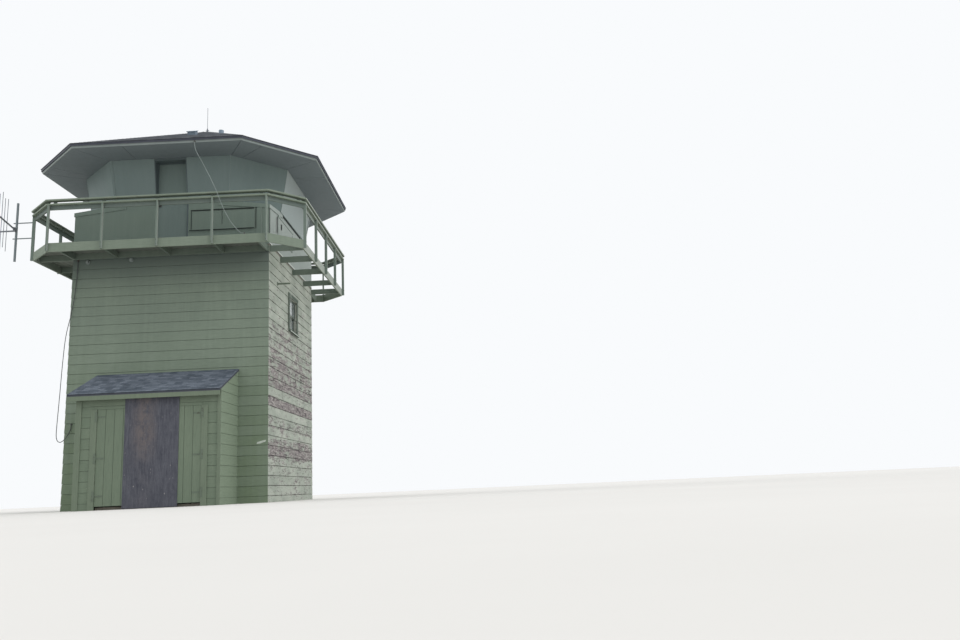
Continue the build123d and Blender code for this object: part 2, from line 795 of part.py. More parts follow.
# Route of the dark cable from under the deck, past the corner and back to the wall
cable_points = [(-2298, -2458, 6040), (-2299, -2462, 5820), (-2306, -2466, 5588), (-2318, -2470, 5360),
                (-2336, -2474, 5130), (-2361, -2479, 4906), (-2394, -2484, 4690), (-2434, -2489, 4480),
                (-2476, -2493, 4262), (-2502, -2496, 4036), (-2516, -2498, 3806), (-2527, -2500, 3578),
                (-2537, -2502, 3344), (-2545, -2503, 3114), (-2552, -2504, 2880), (-2560, -2506, 2650),
                (-2568, -2508, 2424), (-2577, -2510, 2196), (-2585, -2512, 1964), (-2590, -2513, 1766),
                (-2564, -2512, 1646), (-2496, -2508, 1598), (-2426, -2500, 1634), (-2362, -2489, 1712),
                (-2308, -2474, 1808), (-2271, -2461, 1908), (-2268, -2458, 2010)]
cord_sides = 6


def cord_tube(name, points, radius):
    """A tube along straight runs that wide arcs join."""
    corners = [Vector(*p) for p in points]
    runs = [(b - a).length for a, b in zip(corners, corners[1:])]
    radii = []
    for i in range(1, len(corners) - 1):
        turn = (corners[i] - corners[i - 1]).get_angle(corners[i + 1] - corners[i])
        radii.append(bend_share * min(runs[i - 1], runs[i]) / math.tan(math.radians(turn) / 2))
    path = FilletPolyline(*corners, radius=radii)
    start = Plane(origin=corners[0], z_dir=corners[1] - corners[0])
    section = start * RegularPolygon(radius, cord_sides)
    tube = sweep(section, path=path)
    expected = section.area * path.length
    print(name, "radii from", round(min(radii)), "longest run", round(max(runs)),
          "volume share", round(tube.volume / expected, 4))
    return tube


def wall_clip(x, face, cord_end):
    """A clip that stands out of a wall face just above a cord's end."""
    low = cord_end + clip_seat
    return block((x - clip_width / 2, x + clip_width / 2), (face - clip_depth, face), (low, low + clip_height))


def write_cords():
    """Hanging wire and cable, with the clips that hold their ends."""
    write("hanging_wire", [cord_tube("wire", wire_points, wire_radius)])
    write("hanging_cable", [cord_tube("cable", cable_points, cable_radius)])
    eave_clip = wall_clip(wire_points[0][0], -eave_half_width, fascia_bottom + eave_clip_lift)
    top_clip = wall_clip(cable_points[0][0], front_face, joist_low - top_clip_drop)
    low_clip = wall_clip(cable_points[-1][0], front_face, low_clip_height)
    wire_end = wire_points[-1][0] + clip_seat
    rim_middle = -rim_half + rim_thickness / 2
    rim_clip = block((wire_end, wire_end + clip_height),
                     (rim_middle - clip_width / 4, rim_middle + clip_width / 4),
                     (deck_height, deck_height + clip_depth))
    write("cord_clips", [eave_clip, rim_clip, top_clip, low_clip])


write_shaft()
write_deck()
write_railing()
write_knee_walls()
write_cab()
write_cab_door()
peak_top_height = write_roof()
write_roof_fittings(peak_top_height)
write_window()
write_wall_stub()
write_store()
write_store_doors()
write_side_antenna()
write_cords()
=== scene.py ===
"""Looks of a fire lookout tower: a clad shaft, an eight-sided cab, a catwalk and a lean-to store.

Metres, +Z up, the front faces -Y and +X is to its right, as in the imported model.
"""

from __future__ import annotations

import logging
import math
import random
from collections.abc import Callable, Iterator
from contextlib import contextmanager
from dataclasses import dataclass, field, replace
from enum import Enum

import bpy
from mathutils import Matrix, Vector

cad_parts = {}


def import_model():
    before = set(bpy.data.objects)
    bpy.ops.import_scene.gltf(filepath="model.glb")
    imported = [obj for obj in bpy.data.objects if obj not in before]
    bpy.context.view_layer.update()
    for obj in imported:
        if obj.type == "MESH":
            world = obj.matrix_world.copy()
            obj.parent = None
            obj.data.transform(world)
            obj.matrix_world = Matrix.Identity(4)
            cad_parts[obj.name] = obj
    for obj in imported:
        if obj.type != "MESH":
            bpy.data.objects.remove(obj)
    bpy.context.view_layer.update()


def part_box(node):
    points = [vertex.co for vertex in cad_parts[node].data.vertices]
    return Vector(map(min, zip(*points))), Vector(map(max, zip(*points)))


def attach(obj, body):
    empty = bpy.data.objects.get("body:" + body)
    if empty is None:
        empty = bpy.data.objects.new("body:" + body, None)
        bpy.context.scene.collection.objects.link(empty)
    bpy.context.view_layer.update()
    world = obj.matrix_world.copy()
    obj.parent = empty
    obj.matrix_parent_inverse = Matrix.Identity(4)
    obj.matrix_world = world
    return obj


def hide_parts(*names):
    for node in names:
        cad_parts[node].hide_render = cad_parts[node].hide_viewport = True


LOG = logging.getLogger("tower")
BODY = "root"
MADE: dict[str, bpy.types.Material] = {}
Point = tuple[float, float, float]
Colour = tuple[int, int, int]
Span = tuple[float, float]

# Widths of rounded edges
FINE_EDGE = 0.002
SAWN_EDGE = 0.003
WORN_EDGE = 0.004

# Height of one row of siding, and of one joint between rows from which all rows are counted
ROW_HEIGHT = 0.2365
ROW_LINE = 5.355

# How deep a fitting sits in the face under it, and how near two places count as one
TOUCH = 0.001

# How far a thin strip stands proud of its face
STRIP_PROUD = 0.003

# How near corners are merged, how flat faces are joined, and which edges are sharp
WELD = 0.00002
FLAT_ANGLE = math.radians(0.5)
SHARP_ANGLE = math.radians(25)

# Sockets of a colour mix: share, first colour and second colour, and its result
COLOUR_INPUTS = (0, 6, 7)
COLOUR_OUTPUT = 2

EVEN: Point = (1.0, 1.0, 1.0)


# Meshes


def deselect() -> None:
    """Leave nothing selected."""
    bpy.ops.object.select_all(action="DESELECT")


def pick(*pieces: bpy.types.Object) -> None:
    """Select some pieces and make the first one active.

    Args:
        pieces: The objects that the next operator works on.
    """
    deselect()
    for piece in pieces:
        piece.select_set(True)
    bpy.context.view_layer.objects.active = pieces[0]


@contextmanager
def editing(piece: bpy.types.Object, whole: bool = True) -> Iterator[None]:
    """Open a piece in edit mode and close it again.

    Args:
        piece: The piece to edit.
        whole: Whether all of it is selected first.

    Yields:
        Nothing.
    """
    pick(piece)
    bpy.ops.object.mode_set(mode="EDIT")
    if whole:
        bpy.ops.mesh.select_all(action="SELECT")
    yield
    bpy.ops.object.mode_set(mode="OBJECT")


def settled(name: str) -> bpy.types.Object:
    """Name the primitive that was just added and put its place into its mesh.

    Args:
        name: The piece's name.

    Returns:
        The new object, at the origin, unturned and unscaled.
    """
    piece = bpy.context.object
    piece.name = name
    bpy.ops.object.transform_apply(location=True, rotation=True, scale=True)
    return piece


def block(name: str, low: Point, high: Point) -> bpy.types.Object:
    """Add a block between two corners.

    Args:
        name: The piece's name.
        low: Its lowest corner.
        high: Its highest corner.

    Returns:
        The new object.
    """
    deselect()
    size = [b - a for a, b in zip(low, high)]
    middle = [(a + b) / 2 for a, b in zip(low, high)]
    bpy.ops.mesh.primitive_cube_add(size=1.0, location=middle, scale=size)
    return settled(name)


def rod(name: str, start: Point, end: Point, radius: float, sides: int = 16) -> bpy.types.Object:
    """Add a round bar from one point to another.

    Args:
        name: The piece's name.
        start: The middle of its first end.
        end: The middle of its other end.
        radius: Its radius.
        sides: How many faces go round it.

    Returns:
        The new object.
    """
    deselect()
    run = Vector(end) - Vector(start)
    turn = run.to_track_quat("Z", "Y").to_euler()
    bpy.ops.mesh.primitive_cylinder_add(vertices=sides, radius=radius, depth=run.length,
                                        location=(Vector(start) + Vector(end)) / 2, rotation=turn)
    return settled(name)


def reshaped(piece: bpy.types.Object, move: Callable[[Vector], Vector]) -> bpy.types.Object:
    """Move each corner of a piece to the place that a function gives.

    Args:
        piece: The piece to shape.
        move: Takes a corner's place and returns its new one.

    Returns:
        The same piece.
    """
    for corner in piece.data.vertices:
        corner.co = move(corner.co.copy())
    piece.data.update()
    return piece


def leaning_block(name: str, low: list[Vector], high: list[Vector]) -> bpy.types.Object:
    """Add a block whose lower and upper faces have their own four corners.

    Args:
        name: The piece's name.
        low: Lower corners: first and last of the outer edge, then last and first of the inner one.
        high: Upper corners in the same order.

    Returns:
        The new object.
    """
    piece = block(name, (0, 0, 0), (1, 1, 1))
    order = {(0, 0): 0, (1, 0): 1, (1, 1): 2, (0, 1): 3}

    def corner(place: Vector) -> Vector:
        """Return the given corner that takes the place of a plain block's one."""
        row = high if place.z > 0.5 else low
        return Vector(row[order[(round(place.x), round(place.y))]])

    reshaped(piece, corner)
    outward(piece)
    return piece


def outward(piece: bpy.types.Object) -> None:
    """Turn all faces of a closed piece outwards.

    Args:
        piece: The piece to mend.
    """
    with editing(piece):
        bpy.ops.mesh.normals_make_consistent(inside=False)


def copied(piece: bpy.types.Object, name: str, place: Matrix = Matrix.Identity(4)) -> bpy.types.Object:
    """Copy a piece with its own mesh.

    Args:
        piece: The piece to copy.
        name: The copy's name.
        place: How the copy's mesh is moved.

    Returns:
        The copy.
    """
    mesh = piece.data.copy()
    mesh.transform(place)
    twin = bpy.data.objects.new(name, mesh)
    bpy.context.scene.collection.objects.link(twin)
    return twin


def joined(name: str, pieces: list[bpy.types.Object]) -> bpy.types.Object:
    """Join pieces into one.

    Args:
        name: The name of the result.
        pieces: The pieces, which are used up.

    Returns:
        The joined piece.
    """
    pick(*pieces)
    if len(pieces) > 1:
        bpy.ops.object.join()
    pieces[0].name = name
    return pieces[0]


def modified(piece: bpy.types.Object, kind: str, **values: object) -> bpy.types.Object:
    """Add a modifier to a piece and apply it.

    Args:
        piece: The piece to change.
        kind: The modifier's type.
        values: Its settings.

    Returns:
        The same piece.
    """
    pick(piece)
    modifier = piece.modifiers.new(kind.lower(), kind)
    for key, value in values.items():
        setattr(modifier, key, value)
    bpy.ops.object.modifier_apply(modifier=modifier.name)
    return piece


def rounded(piece: bpy.types.Object, width: float, segments: int = 2) -> bpy.types.Object:
    """Round the sharp edges of a piece; the rounding takes the piece's second finish.

    Args:
        piece: The piece to round.
        width: How wide the rounding is.
        segments: How many faces go across it.

    Returns:
        The same piece.
    """
    worn = 1 if len(piece.data.materials) > 1 else 0
    return modified(piece, "BEVEL", width=width, segments=segments, limit_method="ANGLE",
                    angle_limit=SHARP_ANGLE, material=worn, use_clamp_overlap=True)


def node_copy(node: str, name: str) -> bpy.types.Object:
    """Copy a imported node's mesh and merge its loose triangles into clean faces.

    Args:
        node: The node to copy.
        name: The copy's name.

    Returns:
        The copy, with no finish.
    """
    twin = copied(bpy.data.objects[node], name)
    twin.data.materials.clear()
    with editing(twin):
        bpy.ops.mesh.remove_doubles(threshold=WELD)
        bpy.ops.mesh.dissolve_limited(angle_limit=FLAT_ANGLE)
    return twin


def cut(piece: bpy.types.Object, point: Point, away: Point) -> bpy.types.Object:
    """Cut a piece with a plane and close the cut.

    Args:
        piece: The piece to cut.
        point: A point of the plane.
        away: Direction of the side that is taken off.

    Returns:
        The same piece.
    """
    with editing(piece):
        bpy.ops.mesh.bisect(plane_co=point, plane_no=away, use_fill=True, clear_outer=True)
    return piece


def dress(piece: bpy.types.Object, *finishes: Finish) -> bpy.types.Object:
    """Give a piece its finishes in place of those it has.

    Args:
        piece: The piece to dress.
        finishes: The finish of the faces, then that of the rounded edges where there is one.

    Returns:
        The same piece.
    """
    piece.data.materials.clear()
    for finish in finishes:
        piece.data.materials.append(finish.material())
    return piece


def dress_nodes(finish: Finish, *nodes: str) -> None:
    """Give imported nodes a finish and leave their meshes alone.

    Args:
        finish: The finish of all their faces.
        nodes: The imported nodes.
    """
    for node in nodes:
        dress(bpy.data.objects[node], finish)
        LOG.info("%s: dressed as packed", node)


def hold(piece: bpy.types.Object, slot: str, *nodes: str) -> bpy.types.Object:
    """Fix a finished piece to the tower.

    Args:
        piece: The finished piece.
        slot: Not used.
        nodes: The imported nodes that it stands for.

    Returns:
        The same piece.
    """
    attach(piece, BODY)
    if nodes:
        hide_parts(*nodes)
    LOG.info("%s: %d faces", piece.name, len(piece.data.polygons))
    return piece


def quarter(count: int) -> Matrix:
    """Return the turn from the front to another side: 1 right, 2 back, 3 left."""
    return Matrix.Rotation(math.radians(90 * count), 4, "Z")


def inlay(side: int, span: Span, height: Span, face: float, depth: float = 0.002) -> bpy.types.Object:
    """Add a thin strip on an upright face, a little proud of it.

    Args:
        side: Quarter turns from the front.
        span: Where it starts and ends along the side.
        height: Its lowest and highest place.
        face: Y of the face, as if the side were the front.
        depth: How far it goes in behind the face.

    Returns:
        The new strip.
    """
    strip = block("strip", (span[0], face - STRIP_PROUD, height[0]), (span[1], face + depth, height[1]))
    strip.data.transform(quarter(side))
    return strip


# Colours and materials


def linear(colour: Colour) -> tuple[float, float, float, float]:
    """Turn a colour of 0 to 255 into the shader's own values.

    Args:
        colour: Red, green and blue as they look on a screen.

    Returns:
        Linear red, green and blue, and a full alpha.
    """
    def one(value: float) -> float:
        """Return one channel's linear value."""
        share = value / 255
        return share / 12.92 if share <= 0.04045 else ((share + 0.055) / 1.055) ** 2.4

    return (one(colour[0]), one(colour[1]), one(colour[2]), 1.0)


def darker(colour: Colour, share: float) -> Colour:
    """Return a share of a colour's light."""
    return tuple(round(value * share) for value in colour)


def paler(colour: Colour, step: int) -> Colour:
    """Return a colour that is lighter by a step of 0 to 255."""
    return tuple(min(255, value + step) for value in colour)


class Grain(Enum):
    """Which way a finish's grain runs, as the scale of its pattern along X, Y and Z."""

    LEVEL = (1.0, 1.0, 26.0)
    UPRIGHT = (26.0, 26.0, 1.0)
    ALONG_X = (1.0, 26.0, 26.0)
    ALONG_Y = (26.0, 1.0, 26.0)
    NONE = (1.0, 1.0, 1.0)


@dataclass(frozen=True)
class Cloud:
    """One soft noise over the place on the tower.

    Its place is stretched and shifted first, so that two noises differ. The scale tells how fine it is, the
    detail how many finer layers it has, and the roughness how strong these are.
    """

    stretch: Point
    scale: float
    detail: float = 3.0
    roughness: float = 0.55
    shift: Point = (0.0, 0.0, 0.0)

    def along(self, stretch: Point) -> Cloud:
        """Return the same noise with another stretch."""
        return replace(self, stretch=stretch)


class NodeSheet:
    """The nodes of one material, added one after another."""

    def __init__(self, name: str, shine: float = 0.5) -> None:
        """Start a material with a plain shader.

        Args:
            name: The material's name.
            shine: How strongly it shines, 0.5 for a clean hard surface.
        """
        self.material = bpy.data.materials.new(name)
        self.material.use_nodes = True
        self.nodes = self.material.node_tree.nodes
        self.nodes.clear()
        self.shader = self.nodes.new("ShaderNodeBsdfPrincipled")
        output = self.nodes.new("ShaderNodeOutputMaterial")
        self.shader.inputs["Specular IOR Level"].default_value = shine
        self.place = self.nodes.new("ShaderNodeTexCoord").outputs["Object"]
        self.link(self.shader.outputs["BSDF"], output.inputs["Surface"])

    def link(self, source: bpy.types.NodeSocket, target: bpy.types.NodeSocket) -> None:
        """Join two sockets."""
        self.material.node_tree.links.new(source, target)

    def feed(self, value: object, target: bpy.types.NodeSocket) -> None:
        """Give a socket a link, a number or a colour, whichever the value is.

        Args:
            value: A socket, a number or a colour.
            target: The socket that takes it.
        """
        if isinstance(value, bpy.types.NodeSocket):
            self.link(value, target)
        else:
            target.default_value = value

    def noise(self, cloud: Cloud) -> bpy.types.NodeSocket:
        """Add a noise.

        Args:
            cloud: What the noise is like.

        Returns:
            Its value of 0 to 1.
        """
        mapping = self.nodes.new("ShaderNodeMapping")
        mapping.inputs["Scale"].default_value = cloud.stretch
        mapping.inputs["Location"].default_value = cloud.shift
        self.link(self.place, mapping.inputs["Vector"])
        node = self.nodes.new("ShaderNodeTexNoise")
        node.inputs["Scale"].default_value = cloud.scale
        node.inputs["Detail"].default_value = cloud.detail
        node.inputs["Roughness"].default_value = cloud.roughness
        self.link(mapping.outputs["Vector"], node.inputs["Vector"])
        return node.outputs["Fac"]

    def ramp(self, value: bpy.types.NodeSocket, *stops: tuple[float, float]) -> bpy.types.NodeSocket:
        """Return a value passed through stops, with straight stretches between them.

        Args:
            value: A value of 0 to 1.
            stops: Pairs of input and output, from the lowest input up.

        Returns:
            The new value.
        """
        node = self.nodes.new("ShaderNodeValToRGB")
        elements = node.color_ramp.elements
        elements[-1].position = stops[-1][0]
        elements[0].position = stops[0][0]
        for position, _ in stops[1:-1]:
            elements.new(position)
        for element, (_, level) in zip(elements, stops):
            element.color = (level, level, level, 1.0)
        self.link(value, node.inputs["Fac"])
        return node.outputs["Color"]

    def maths(self, operation: str, first: object, second: object) -> bpy.types.NodeSocket:
        """Return the result of one operation on two values.

        Args:
            operation: The operation's name.
            first: A socket or a number.
            second: Another one.

        Returns:
            The result.
        """
        node = self.nodes.new("ShaderNodeMath")
        node.operation = operation
        self.feed(first, node.inputs[0])
        self.feed(second, node.inputs[1])
        return node.outputs["Value"]

    def total(self, first: object, *others: object) -> bpy.types.NodeSocket:
        """Return the sum of some values.

        Args:
            first: A socket or a number.
            others: More of them.

        Returns:
            The sum.
        """
        for other in others:
            first = self.maths("ADD", first, other)
        return first

    def times(self, first: object, second: object) -> bpy.types.NodeSocket:
        """Return the product of two values."""
        return self.maths("MULTIPLY", first, second)

    def swing(self, value: bpy.types.NodeSocket, middle: float, amount: float) -> bpy.types.NodeSocket:
        """Return how far a value lies from a middle, times an amount."""
        return self.times(self.maths("SUBTRACT", value, middle), amount)

    def mixed(self, share: object, first: object, second: object) -> bpy.types.NodeSocket:
        """Return a colour between two others.

        Args:
            share: How much of the second colour there is, 0 to 1.
            first: A colour.
            second: Another one.

        Returns:
            The mixed colour.
        """
        node = self.nodes.new("ShaderNodeMix")
        node.data_type = "RGBA"
        for value, index in zip((share, first, second), COLOUR_INPUTS):
            self.feed(value, node.inputs[index])
        return node.outputs[COLOUR_OUTPUT]

    def axis(self, letter: str) -> bpy.types.NodeSocket:
        """Return the place along one axis.

        Args:
            letter: The axis, X, Y or Z.

        Returns:
            The place in metres.
        """
        node = self.nodes.new("ShaderNodeSeparateXYZ")
        self.link(self.place, node.inputs["Vector"])
        return node.outputs[letter]

    def height(self, top: float) -> bpy.types.NodeSocket:
        """Return the height on the tower as a share of a top height."""
        return self.maths("DIVIDE", self.axis("Z"), top)

    def rows(self, operation: str, row_line: float, row_height: float) -> bpy.types.NodeSocket:
        """Return a board row's number (FLOOR) or the place inside the row (FRACT)."""
        above = self.maths("SUBTRACT", self.axis("Z"), row_line)
        return self.maths(operation, self.maths("DIVIDE", above, row_height), 0.0)

    def facing(self, letter: str) -> bpy.types.NodeSocket:
        """Return how much the surface faces along one axis.

        Args:
            letter: The axis, X, Y or Z.

        Returns:
            A value that is 1 where the surface faces the axis squarely.
        """
        node = self.nodes.new("ShaderNodeSeparateXYZ")
        self.link(self.nodes.new("ShaderNodeNewGeometry").outputs["True Normal"], node.inputs["Vector"])
        return node.outputs[letter]

    def lottery(self, number: bpy.types.NodeSocket) -> bpy.types.NodeSocket:
        """Return one fixed chance value for each number.

        Args:
            number: A whole number that differs from piece to piece.

        Returns:
            A value of 0 to 1.
        """
        node = self.nodes.new("ShaderNodeTexWhiteNoise")
        node.noise_dimensions = "1D"
        self.link(number, node.inputs["W"])
        return node.outputs["Value"]

    def bump(self, height: bpy.types.NodeSocket, distance: float,
             under: bpy.types.NodeSocket | None = None) -> bpy.types.NodeSocket:
        """Return a surface that rises and falls.

        Args:
            height: Where it is high (1) and low (0).
            distance: How far it rises, in metres.
            under: Another such surface that lies under it.

        Returns:
            The surface's direction.
        """
        node = self.nodes.new("ShaderNodeBump")
        node.inputs["Strength"].default_value = 1.0
        node.inputs["Distance"].default_value = distance
        self.link(height, node.inputs["Height"])
        if under is not None:
            self.link(under, node.inputs["Normal"])
        return node.outputs["Normal"]

    def finished(self, colour: object, roughness: object,
                 normal: bpy.types.NodeSocket | None = None) -> bpy.types.Material:
        """Feed the shader.

        Args:
            colour: The surface's colour.
            roughness: How rough it is, 0 to 1.
            normal: The surface's direction, where it isn't smooth.

        Returns:
            The material.
        """
        self.feed(colour, self.shader.inputs["Base Color"])
        self.feed(roughness, self.shader.inputs["Roughness"])
        if normal is not None:
            self.link(normal, self.shader.inputs["Normal"])
        return self.material


@dataclass(frozen=True)
class Finish:
    """A named surface finish, whose material is made once."""

    name: str

    def material(self) -> bpy.types.Material:
        """Make the finish's material the first time it is asked for.

        Returns:
            The material.
        """
        if self.name not in MADE:
            MADE[self.name] = self.mixed_up()
        return MADE[self.name]

    def mixed_up(self) -> bpy.types.Material:
        """Make the material, which each kind of finish does in its own way."""
        raise NotImplementedError


@dataclass(frozen=True)
class PaintedWood(Finish):
    """Old paint on wood, which fades in patches, streaks downwards and flakes to bare wood."""

    paint: Colour = (112, 124, 110)
    faded: Colour = (130, 140, 124)
    bare: Colour = (128, 120, 116)
    grain: Grain = Grain.LEVEL
    flake_from: float = 0.66
    grain_depth: float = 0.42
    row_height: float = 0.0
    row_line: float = 0.0
    # sunlit is the colour of faces turned to +X: partly paint bleached by the sun, partly painted sunlight.
    sunlit: Colour | None = None
    low: Colour | None = None
    low_height: float = 4.5
    # The high colour and the two heights after it paint shade: near the top of the wall the coat turns to the
    # darker colour of the shade under the catwalk's deck.
    high: Colour | None = None
    deck_shade_from: float = 5.2
    deck_shade_top: float = 6.15
    grain_shade: float = 0.8
    crack_shade: float = 0.68
    flake_edge: float = 0.025
    grain_relief: float = 0.0012
    flake_relief: float = 0.0007
    gloss: float = 0.2
    row_middle: float = 0.4
    row_swing: float = 0.42
    fibres: Cloud = Cloud(EVEN, 5.0, 5.0, 0.65)
    patches: Cloud = Cloud((1.0, 1.0, 0.6), 0.9, 4.0, 0.6)
    streaks: Cloud = Cloud((9.0, 9.0, 0.5), 1.2)
    chips: Cloud = Cloud(EVEN, 7.0, 6.0, 0.7)
    chip_spread: float = 0.25

    def mixed_up(self) -> bpy.types.Material:
        """Make the material from patches, rows, streaks, grain and flakes.

        Returns:
            The material.
        """
        sheet = NodeSheet(self.name, self.gloss)
        grain = sheet.noise(self.fibres.along(self.grain.value))
        patches = sheet.noise(self.patches)
        colour = self.coat(sheet, patches)
        colour = sheet.mixed(sheet.ramp(grain, (0.3, self.grain_depth), (0.55, 0.0)), colour,
                             linear(darker(self.paint, self.grain_shade)))
        broad_grain = tuple(1 + (value - 1) * self.chip_spread for value in self.grain.value)
        chips = sheet.noise(self.chips.along(broad_grain))
        flaked = sheet.ramp(chips, (self.flake_from, 0.0), (self.flake_from + self.flake_edge, 1.0))
        dry = sheet.mixed(sheet.ramp(grain, (0.35, 0.7), (0.6, 0.0)), linear(self.bare),
                          linear(darker(self.bare, self.crack_shade)))
        colour = sheet.mixed(flaked, colour, dry)
        relief = sheet.bump(grain, self.grain_relief)
        relief = sheet.bump(sheet.maths("SUBTRACT", 1.0, flaked), self.flake_relief, relief)
        return sheet.finished(colour, sheet.ramp(patches, (0.3, 0.62), (0.7, 0.82)), relief)

    def coat(self, sheet: NodeSheet, patches: bpy.types.NodeSocket) -> bpy.types.NodeSocket:
        """Return the whole coat's colour: faded by patch, streak, row and height, darker near the top where
        painted shade under the deck is mixed in, and paler on faces turned to +X, partly sun-bleached paint
        and partly painted sunlight.

        Args:
            sheet: The material's nodes.
            patches: A broad noise.

        Returns:
            The colour before grain and flakes.
        """
        streaks = sheet.noise(self.streaks)
        fade = sheet.total(sheet.ramp(patches, (0.32, 0.0), (0.7, 0.62)),
                           sheet.ramp(streaks, (0.4, 0.0), (0.75, 0.35)))
        if self.row_height:
            chance = sheet.lottery(sheet.rows("FLOOR", self.row_line, self.row_height))
            fade = sheet.total(fade, sheet.swing(chance, self.row_middle, self.row_swing))
        paint = linear(self.paint)
        if self.low:
            below = sheet.ramp(sheet.height(self.low_height), (0.25, 1.0), (1.0, 0.0))
            paint = sheet.mixed(below, paint, linear(self.low))
        colour = sheet.mixed(fade, paint, linear(self.faded))
        # Painted shade under the catwalk's deck: towards the top the colour turns to the high colour.
        if self.high:
            start = self.deck_shade_from / self.deck_shade_top
            above = sheet.ramp(sheet.height(self.deck_shade_top), (start, 0.0), (1.0, 1.0))
            colour = sheet.mixed(above, colour, linear(self.high))
        # Faces turned to +X take the sunlit colour, partly sun-bleached paint and partly painted sunlight.
        if self.sunlit:
            bleached_and_lit = sheet.ramp(sheet.facing("X"), (0.72, 0.0), (0.92, 0.9))
            colour = sheet.mixed(bleached_and_lit, colour, linear(self.sunlit))
        return colour


@dataclass(frozen=True)
class PeeledSiding(Finish):
    """Sun-burnt boards whose paint has come off in ragged patches, more at some heights than others."""

    paint: Colour = (144, 151, 140)
    chalk: Colour = (166, 171, 160)
    bare: Colour = (116, 108, 109)
    pale: Colour = (168, 164, 159)
    crack: Colour = (72, 67, 67)
    row_height: float = ROW_HEIGHT
    row_line: float = ROW_LINE
    height: float = 6.3
    crack_relief: float = 0.0018
    paint_relief: float = 0.0012
    gloss: float = 0.15
    roughness: float = 0.85
    broad_share: float = 0.30
    board_swing: float = 0.06
    height_swing: float = 0.30
    broad: Cloud = Cloud((1.0, 1.0, 1.8), 1.3, 2.0, 0.6)
    fibres: Cloud = Cloud((1.0, 1.0, 22.0), 4.0, 7.0, 0.75)
    ragged: Cloud = Cloud((1.0, 1.0, 3.2), 2.6, 9.0, 0.74)
    tones: Cloud = Cloud((1.0, 1.0, 4.0), 5.0, 7.0, 0.8, (3.0, 1.0, 2.0))
    flecks: Cloud = Cloud((1.0, 1.0, 3.0), 4.5, 9.0, 0.78, (1.0, 5.0, 3.0))
    cracks: Cloud = Cloud((1.0, 1.0, 8.0), 2.4, 7.0, 0.72, (4.0, 1.0, 6.0))
    splits: Cloud = Cloud((1.0, 1.0, 2.0), 2.6, 8.0, 0.8, (7.0, 2.0, 5.0))
    peel: tuple[tuple[float, float], ...] = (
        (0.0, 0.36), (0.16, 0.44), (0.17, 0.70), (0.24, 0.66), (0.25, 0.30), (0.275, 0.32), (0.285, 0.56),
        (0.32, 0.50), (0.33, 0.26), (0.358, 0.30), (0.364, 0.78), (0.396, 0.78), (0.402, 0.34), (0.434, 0.40),
        (0.44, 0.70), (0.55, 0.64), (0.565, 0.42), (0.60, 0.44), (0.61, 0.52), (0.69, 0.48), (0.72, 0.38),
        (0.80, 0.30), (0.86, 0.20), (1.0, 0.12))

    def mixed_up(self) -> bpy.types.Material:
        """Make the material from a broken peel mask over cracked wood.

        Returns:
            The material.
        """
        sheet = NodeSheet(self.name, self.gloss)
        amount = sheet.ramp(sheet.height(self.height), *self.peel)
        broad = sheet.noise(self.broad)
        fine = sheet.noise(self.fibres)
        peeled = self.peeled(sheet, amount, broad)
        tone = sheet.noise(self.tones)
        wood = sheet.mixed(sheet.ramp(tone, (0.42, 0.0), (0.60, 1.0)), linear(self.bare), linear(self.pale))
        wood = sheet.mixed(sheet.ramp(fine, (0.38, 0.9), (0.52, 0.0)), wood, linear(self.crack))
        paint = sheet.mixed(sheet.ramp(broad, (0.35, 0.0), (0.65, 1.0)), linear(self.paint),
                            linear(self.chalk))
        paint = sheet.mixed(sheet.ramp(fine, (0.32, 0.85), (0.41, 0.0)), paint, linear(self.crack))
        flecks = sheet.total(sheet.noise(self.flecks), sheet.swing(amount, 0.4, 0.16))
        paint = sheet.mixed(sheet.ramp(flecks, (0.565, 0.0), (0.59, 1.0)), paint, linear(self.bare))
        colour = sheet.mixed(peeled, paint, wood)
        colour = sheet.mixed(self.streaks(sheet, amount), colour, linear(self.crack))
        colour = sheet.mixed(self.dark_laps(sheet), colour, linear(self.crack))
        relief = sheet.bump(fine, self.crack_relief)
        relief = sheet.bump(sheet.maths("SUBTRACT", 1.0, peeled), self.paint_relief, relief)
        return sheet.finished(colour, self.roughness, relief)

    def peeled(self, sheet: NodeSheet, amount: bpy.types.NodeSocket,
               broad: bpy.types.NodeSocket) -> bpy.types.NodeSocket:
        """Return 1 where the paint is gone, in patches that differ from board to board.

        Args:
            sheet: The material's nodes.
            amount: How much is gone at each height.
            broad: A broad noise.

        Returns:
            The peel mask.
        """
        chance = sheet.lottery(sheet.rows("FLOOR", self.row_line, self.row_height))
        ragged = sheet.noise(self.ragged)
        level = sheet.total(sheet.times(broad, self.broad_share), sheet.times(ragged, 1 - self.broad_share),
                            sheet.swing(chance, 0.5, self.board_swing),
                            sheet.swing(amount, 0.5, self.height_swing))
        return sheet.ramp(level, (0.520, 0.0), (0.545, 1.0))

    def streaks(self, sheet: NodeSheet, amount: bpy.types.NodeSocket) -> bpy.types.NodeSocket:
        """Return long dark cracks along the boards, most where the paint is gone.

        Args:
            sheet: The material's nodes.
            amount: How much paint is gone at each height.

        Returns:
            A value that is 1 in the darkest cracks.
        """
        level = sheet.noise(self.cracks)
        return sheet.times(sheet.ramp(level, (0.55, 0.0), (0.585, 0.9)),
                           sheet.ramp(amount, (0.28, 0.0), (0.60, 1.0)))

    def dark_laps(self, sheet: NodeSheet) -> bpy.types.NodeSocket:
        """Return broken dark splits along both edges of each board.

        Args:
            sheet: The material's nodes.

        Returns:
            A value that is 1 in the darkest splits.
        """
        inside = sheet.rows("FRACT", self.row_line, self.row_height)
        lap = sheet.maths("MAXIMUM", sheet.ramp(inside, (0.0, 1.0), (0.10, 0.0)),
                          sheet.ramp(inside, (0.93, 0.0), (1.0, 1.0)))
        split = sheet.noise(self.splits)
        return sheet.times(lap, sheet.ramp(split, (0.47, 0.0), (0.56, 0.9)))


